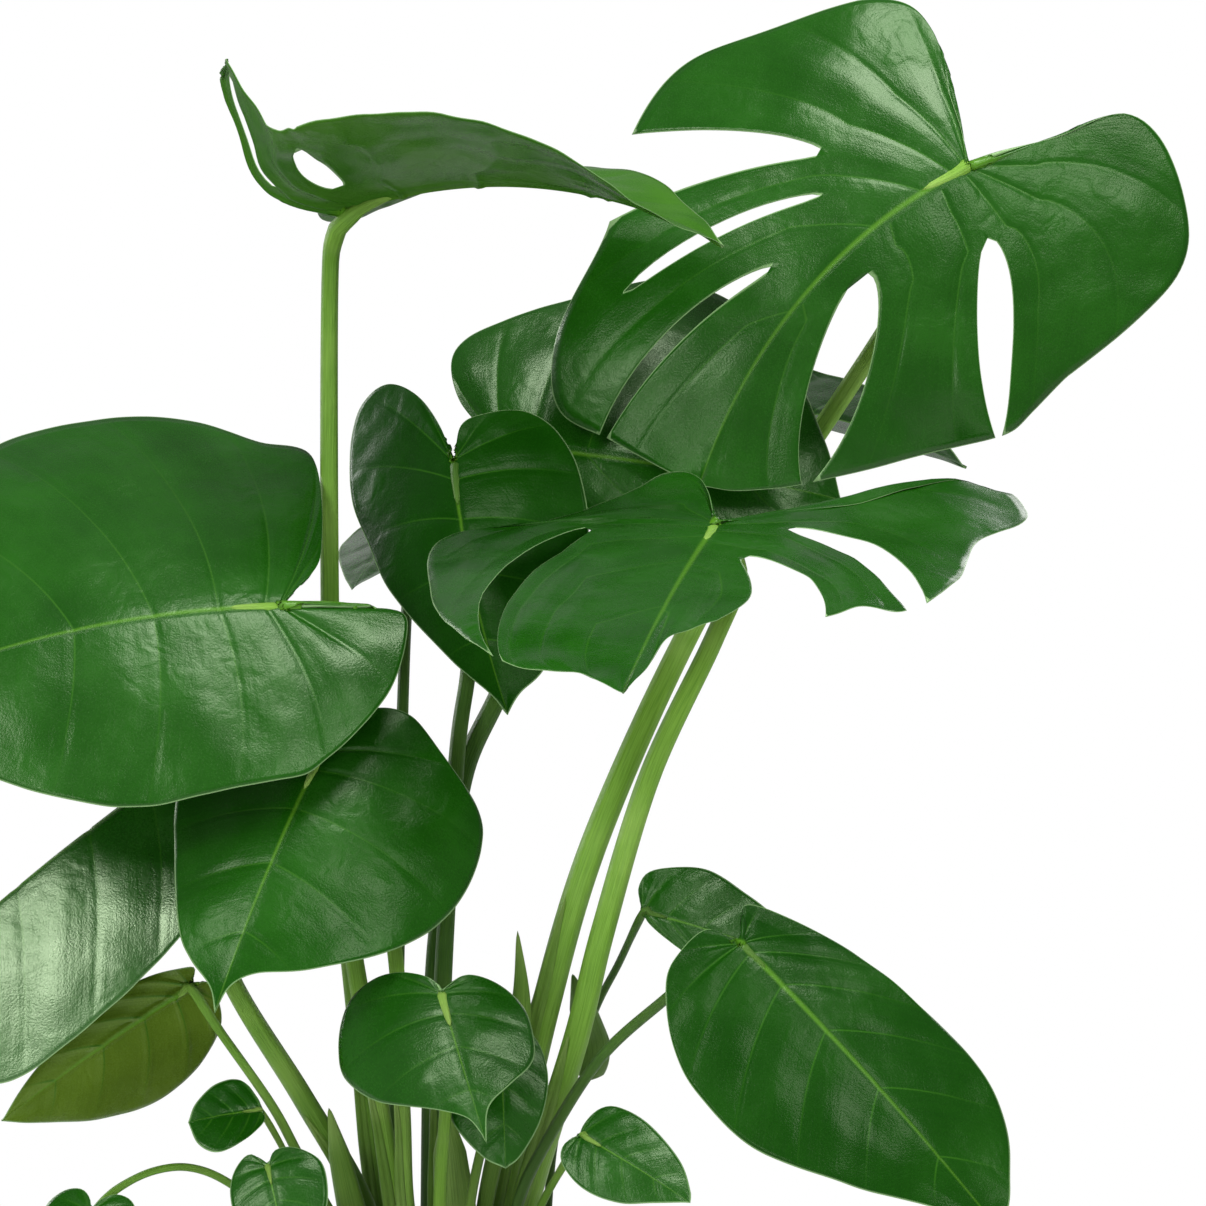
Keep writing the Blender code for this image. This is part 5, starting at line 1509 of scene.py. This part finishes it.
# %% Bark chips and perlite
CHIPS = 260
PEARLS = 150
CHIP_SIZE = 0.011
PEARL_SIZE = 0.004
LARGEST_COPY = 1.3
picker = random.Random(7)


def crumb(name, size, flatness):
    """One rough crumb: a cube cut finer and pushed about."""
    clear_selection()
    bpy.ops.mesh.primitive_cube_add(size=size)
    made = bpy.context.object
    made.name = name
    bpy.ops.object.mode_set(mode="EDIT")
    bpy.ops.mesh.subdivide(number_cuts=1, smoothness=1)
    bpy.ops.object.mode_set(mode="OBJECT")
    for vertex in made.data.vertices:
        vertex.co = [c * picker.uniform(0.75, 1.2) for c in vertex.co]
        vertex.co.z *= flatness
    return made


def scatter(name, shapes, count, finish):
    """Copies of a few shapes laid on the soil inside the pot, joined into one piece."""
    copies = []
    widest = max(math.hypot(v.co.x, v.co.y, v.co.z) for shape in shapes for v in shape.data.vertices)
    room = SOIL_RADIUS - LARGEST_COPY * widest
    for k in range(count):
        copy = shapes[k % len(shapes)].copy()
        copy.data = copy.data.copy()
        bpy.context.collection.objects.link(copy)
        turn, out = picker.uniform(0, 2 * math.pi), room * math.sqrt(picker.random())
        drop = SOIL_SLOPE * max(0.0, (out / SOIL_RADIUS - SOIL_FLAT) / (1 - SOIL_FLAT))
        copy.location = (out * math.cos(turn), out * math.sin(turn), soil_high[2] + 0.0016 - drop)
        copy.rotation_euler = (picker.uniform(-0.5, 0.5), picker.uniform(-0.5, 0.5), picker.uniform(0, 6.3))
        copy.scale = [picker.uniform(0.6, LARGEST_COPY)] * 3
        copies.append(copy)
    clear_selection()
    for copy in copies:
        copy.select_set(True)
    bpy.context.view_layer.objects.active = copies[0]
    bpy.ops.object.join()
    made = bpy.context.object
    made.name = name
    made.data.name = name
    bpy.ops.object.transform_apply(location=True, rotation=True, scale=True)
    for shape in shapes:
        bpy.data.objects.remove(shape, do_unlink=True)
    made.data.materials.clear()
    made.data.materials.append(finish)
    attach(made, "root")
    return made


bark, tree, shader = new_finish("bark")
here = place_on(tree)
grain = cloudy(tree, stretched(tree, here, (900.0, 180.0, 900.0)), 1.0, 4.0)
tone = cloudy(tree, here, 60.0, 2.0)
wood = blended(tree, ramp(tree, grain, 0.3, 0.7), (0.030, 0.016, 0.009), (0.105, 0.058, 0.030))
put(shader.inputs["Base Color"], blended(tree, ramp(tree, tone, 0.4, 0.7), wood, (0.16, 0.10, 0.055)))
shader.inputs["Roughness"].default_value = 0.85
raised(tree, shader, grain, 0.0008)

perlite, tree, shader = new_finish("perlite")
here = place_on(tree)
pits = cloudy(tree, here, 900.0, 4.0, 0.7)
white = blended(tree, ramp(tree, pits, 0.35, 0.6), (0.36, 0.33, 0.29), (0.74, 0.72, 0.68))
put(shader.inputs["Base Color"], white)
shader.inputs["Roughness"].default_value = 0.9
raised(tree, shader, pits, 0.0008)

chips = scatter("bark_chips", [crumb(f"chip_{k}", CHIP_SIZE, 0.38) for k in range(4)], CHIPS, bark)
pearls = scatter("perlite_crumbs", [crumb(f"pearl_{k}", PEARL_SIZE, 0.9) for k in range(3)], PEARLS,
                 perlite)
print("crumbs:", len(chips.data.polygons) + len(pearls.data.polygons), "faces")

# %% [markdown]
# Measure and finish
# The finished plant should fill the same space as the imported solids, so the two boxes are compared and
# the difference printed.

# %% Size and finish
bpy.context.view_layer.update()
low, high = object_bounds()
for axis, a, b, c, d in zip("xyz", cad_low, low, cad_high, high):
    print(axis, "low", round((b - a) / MM, 1), "high", round((d - c) / MM, 1), "mm beyond the solids")
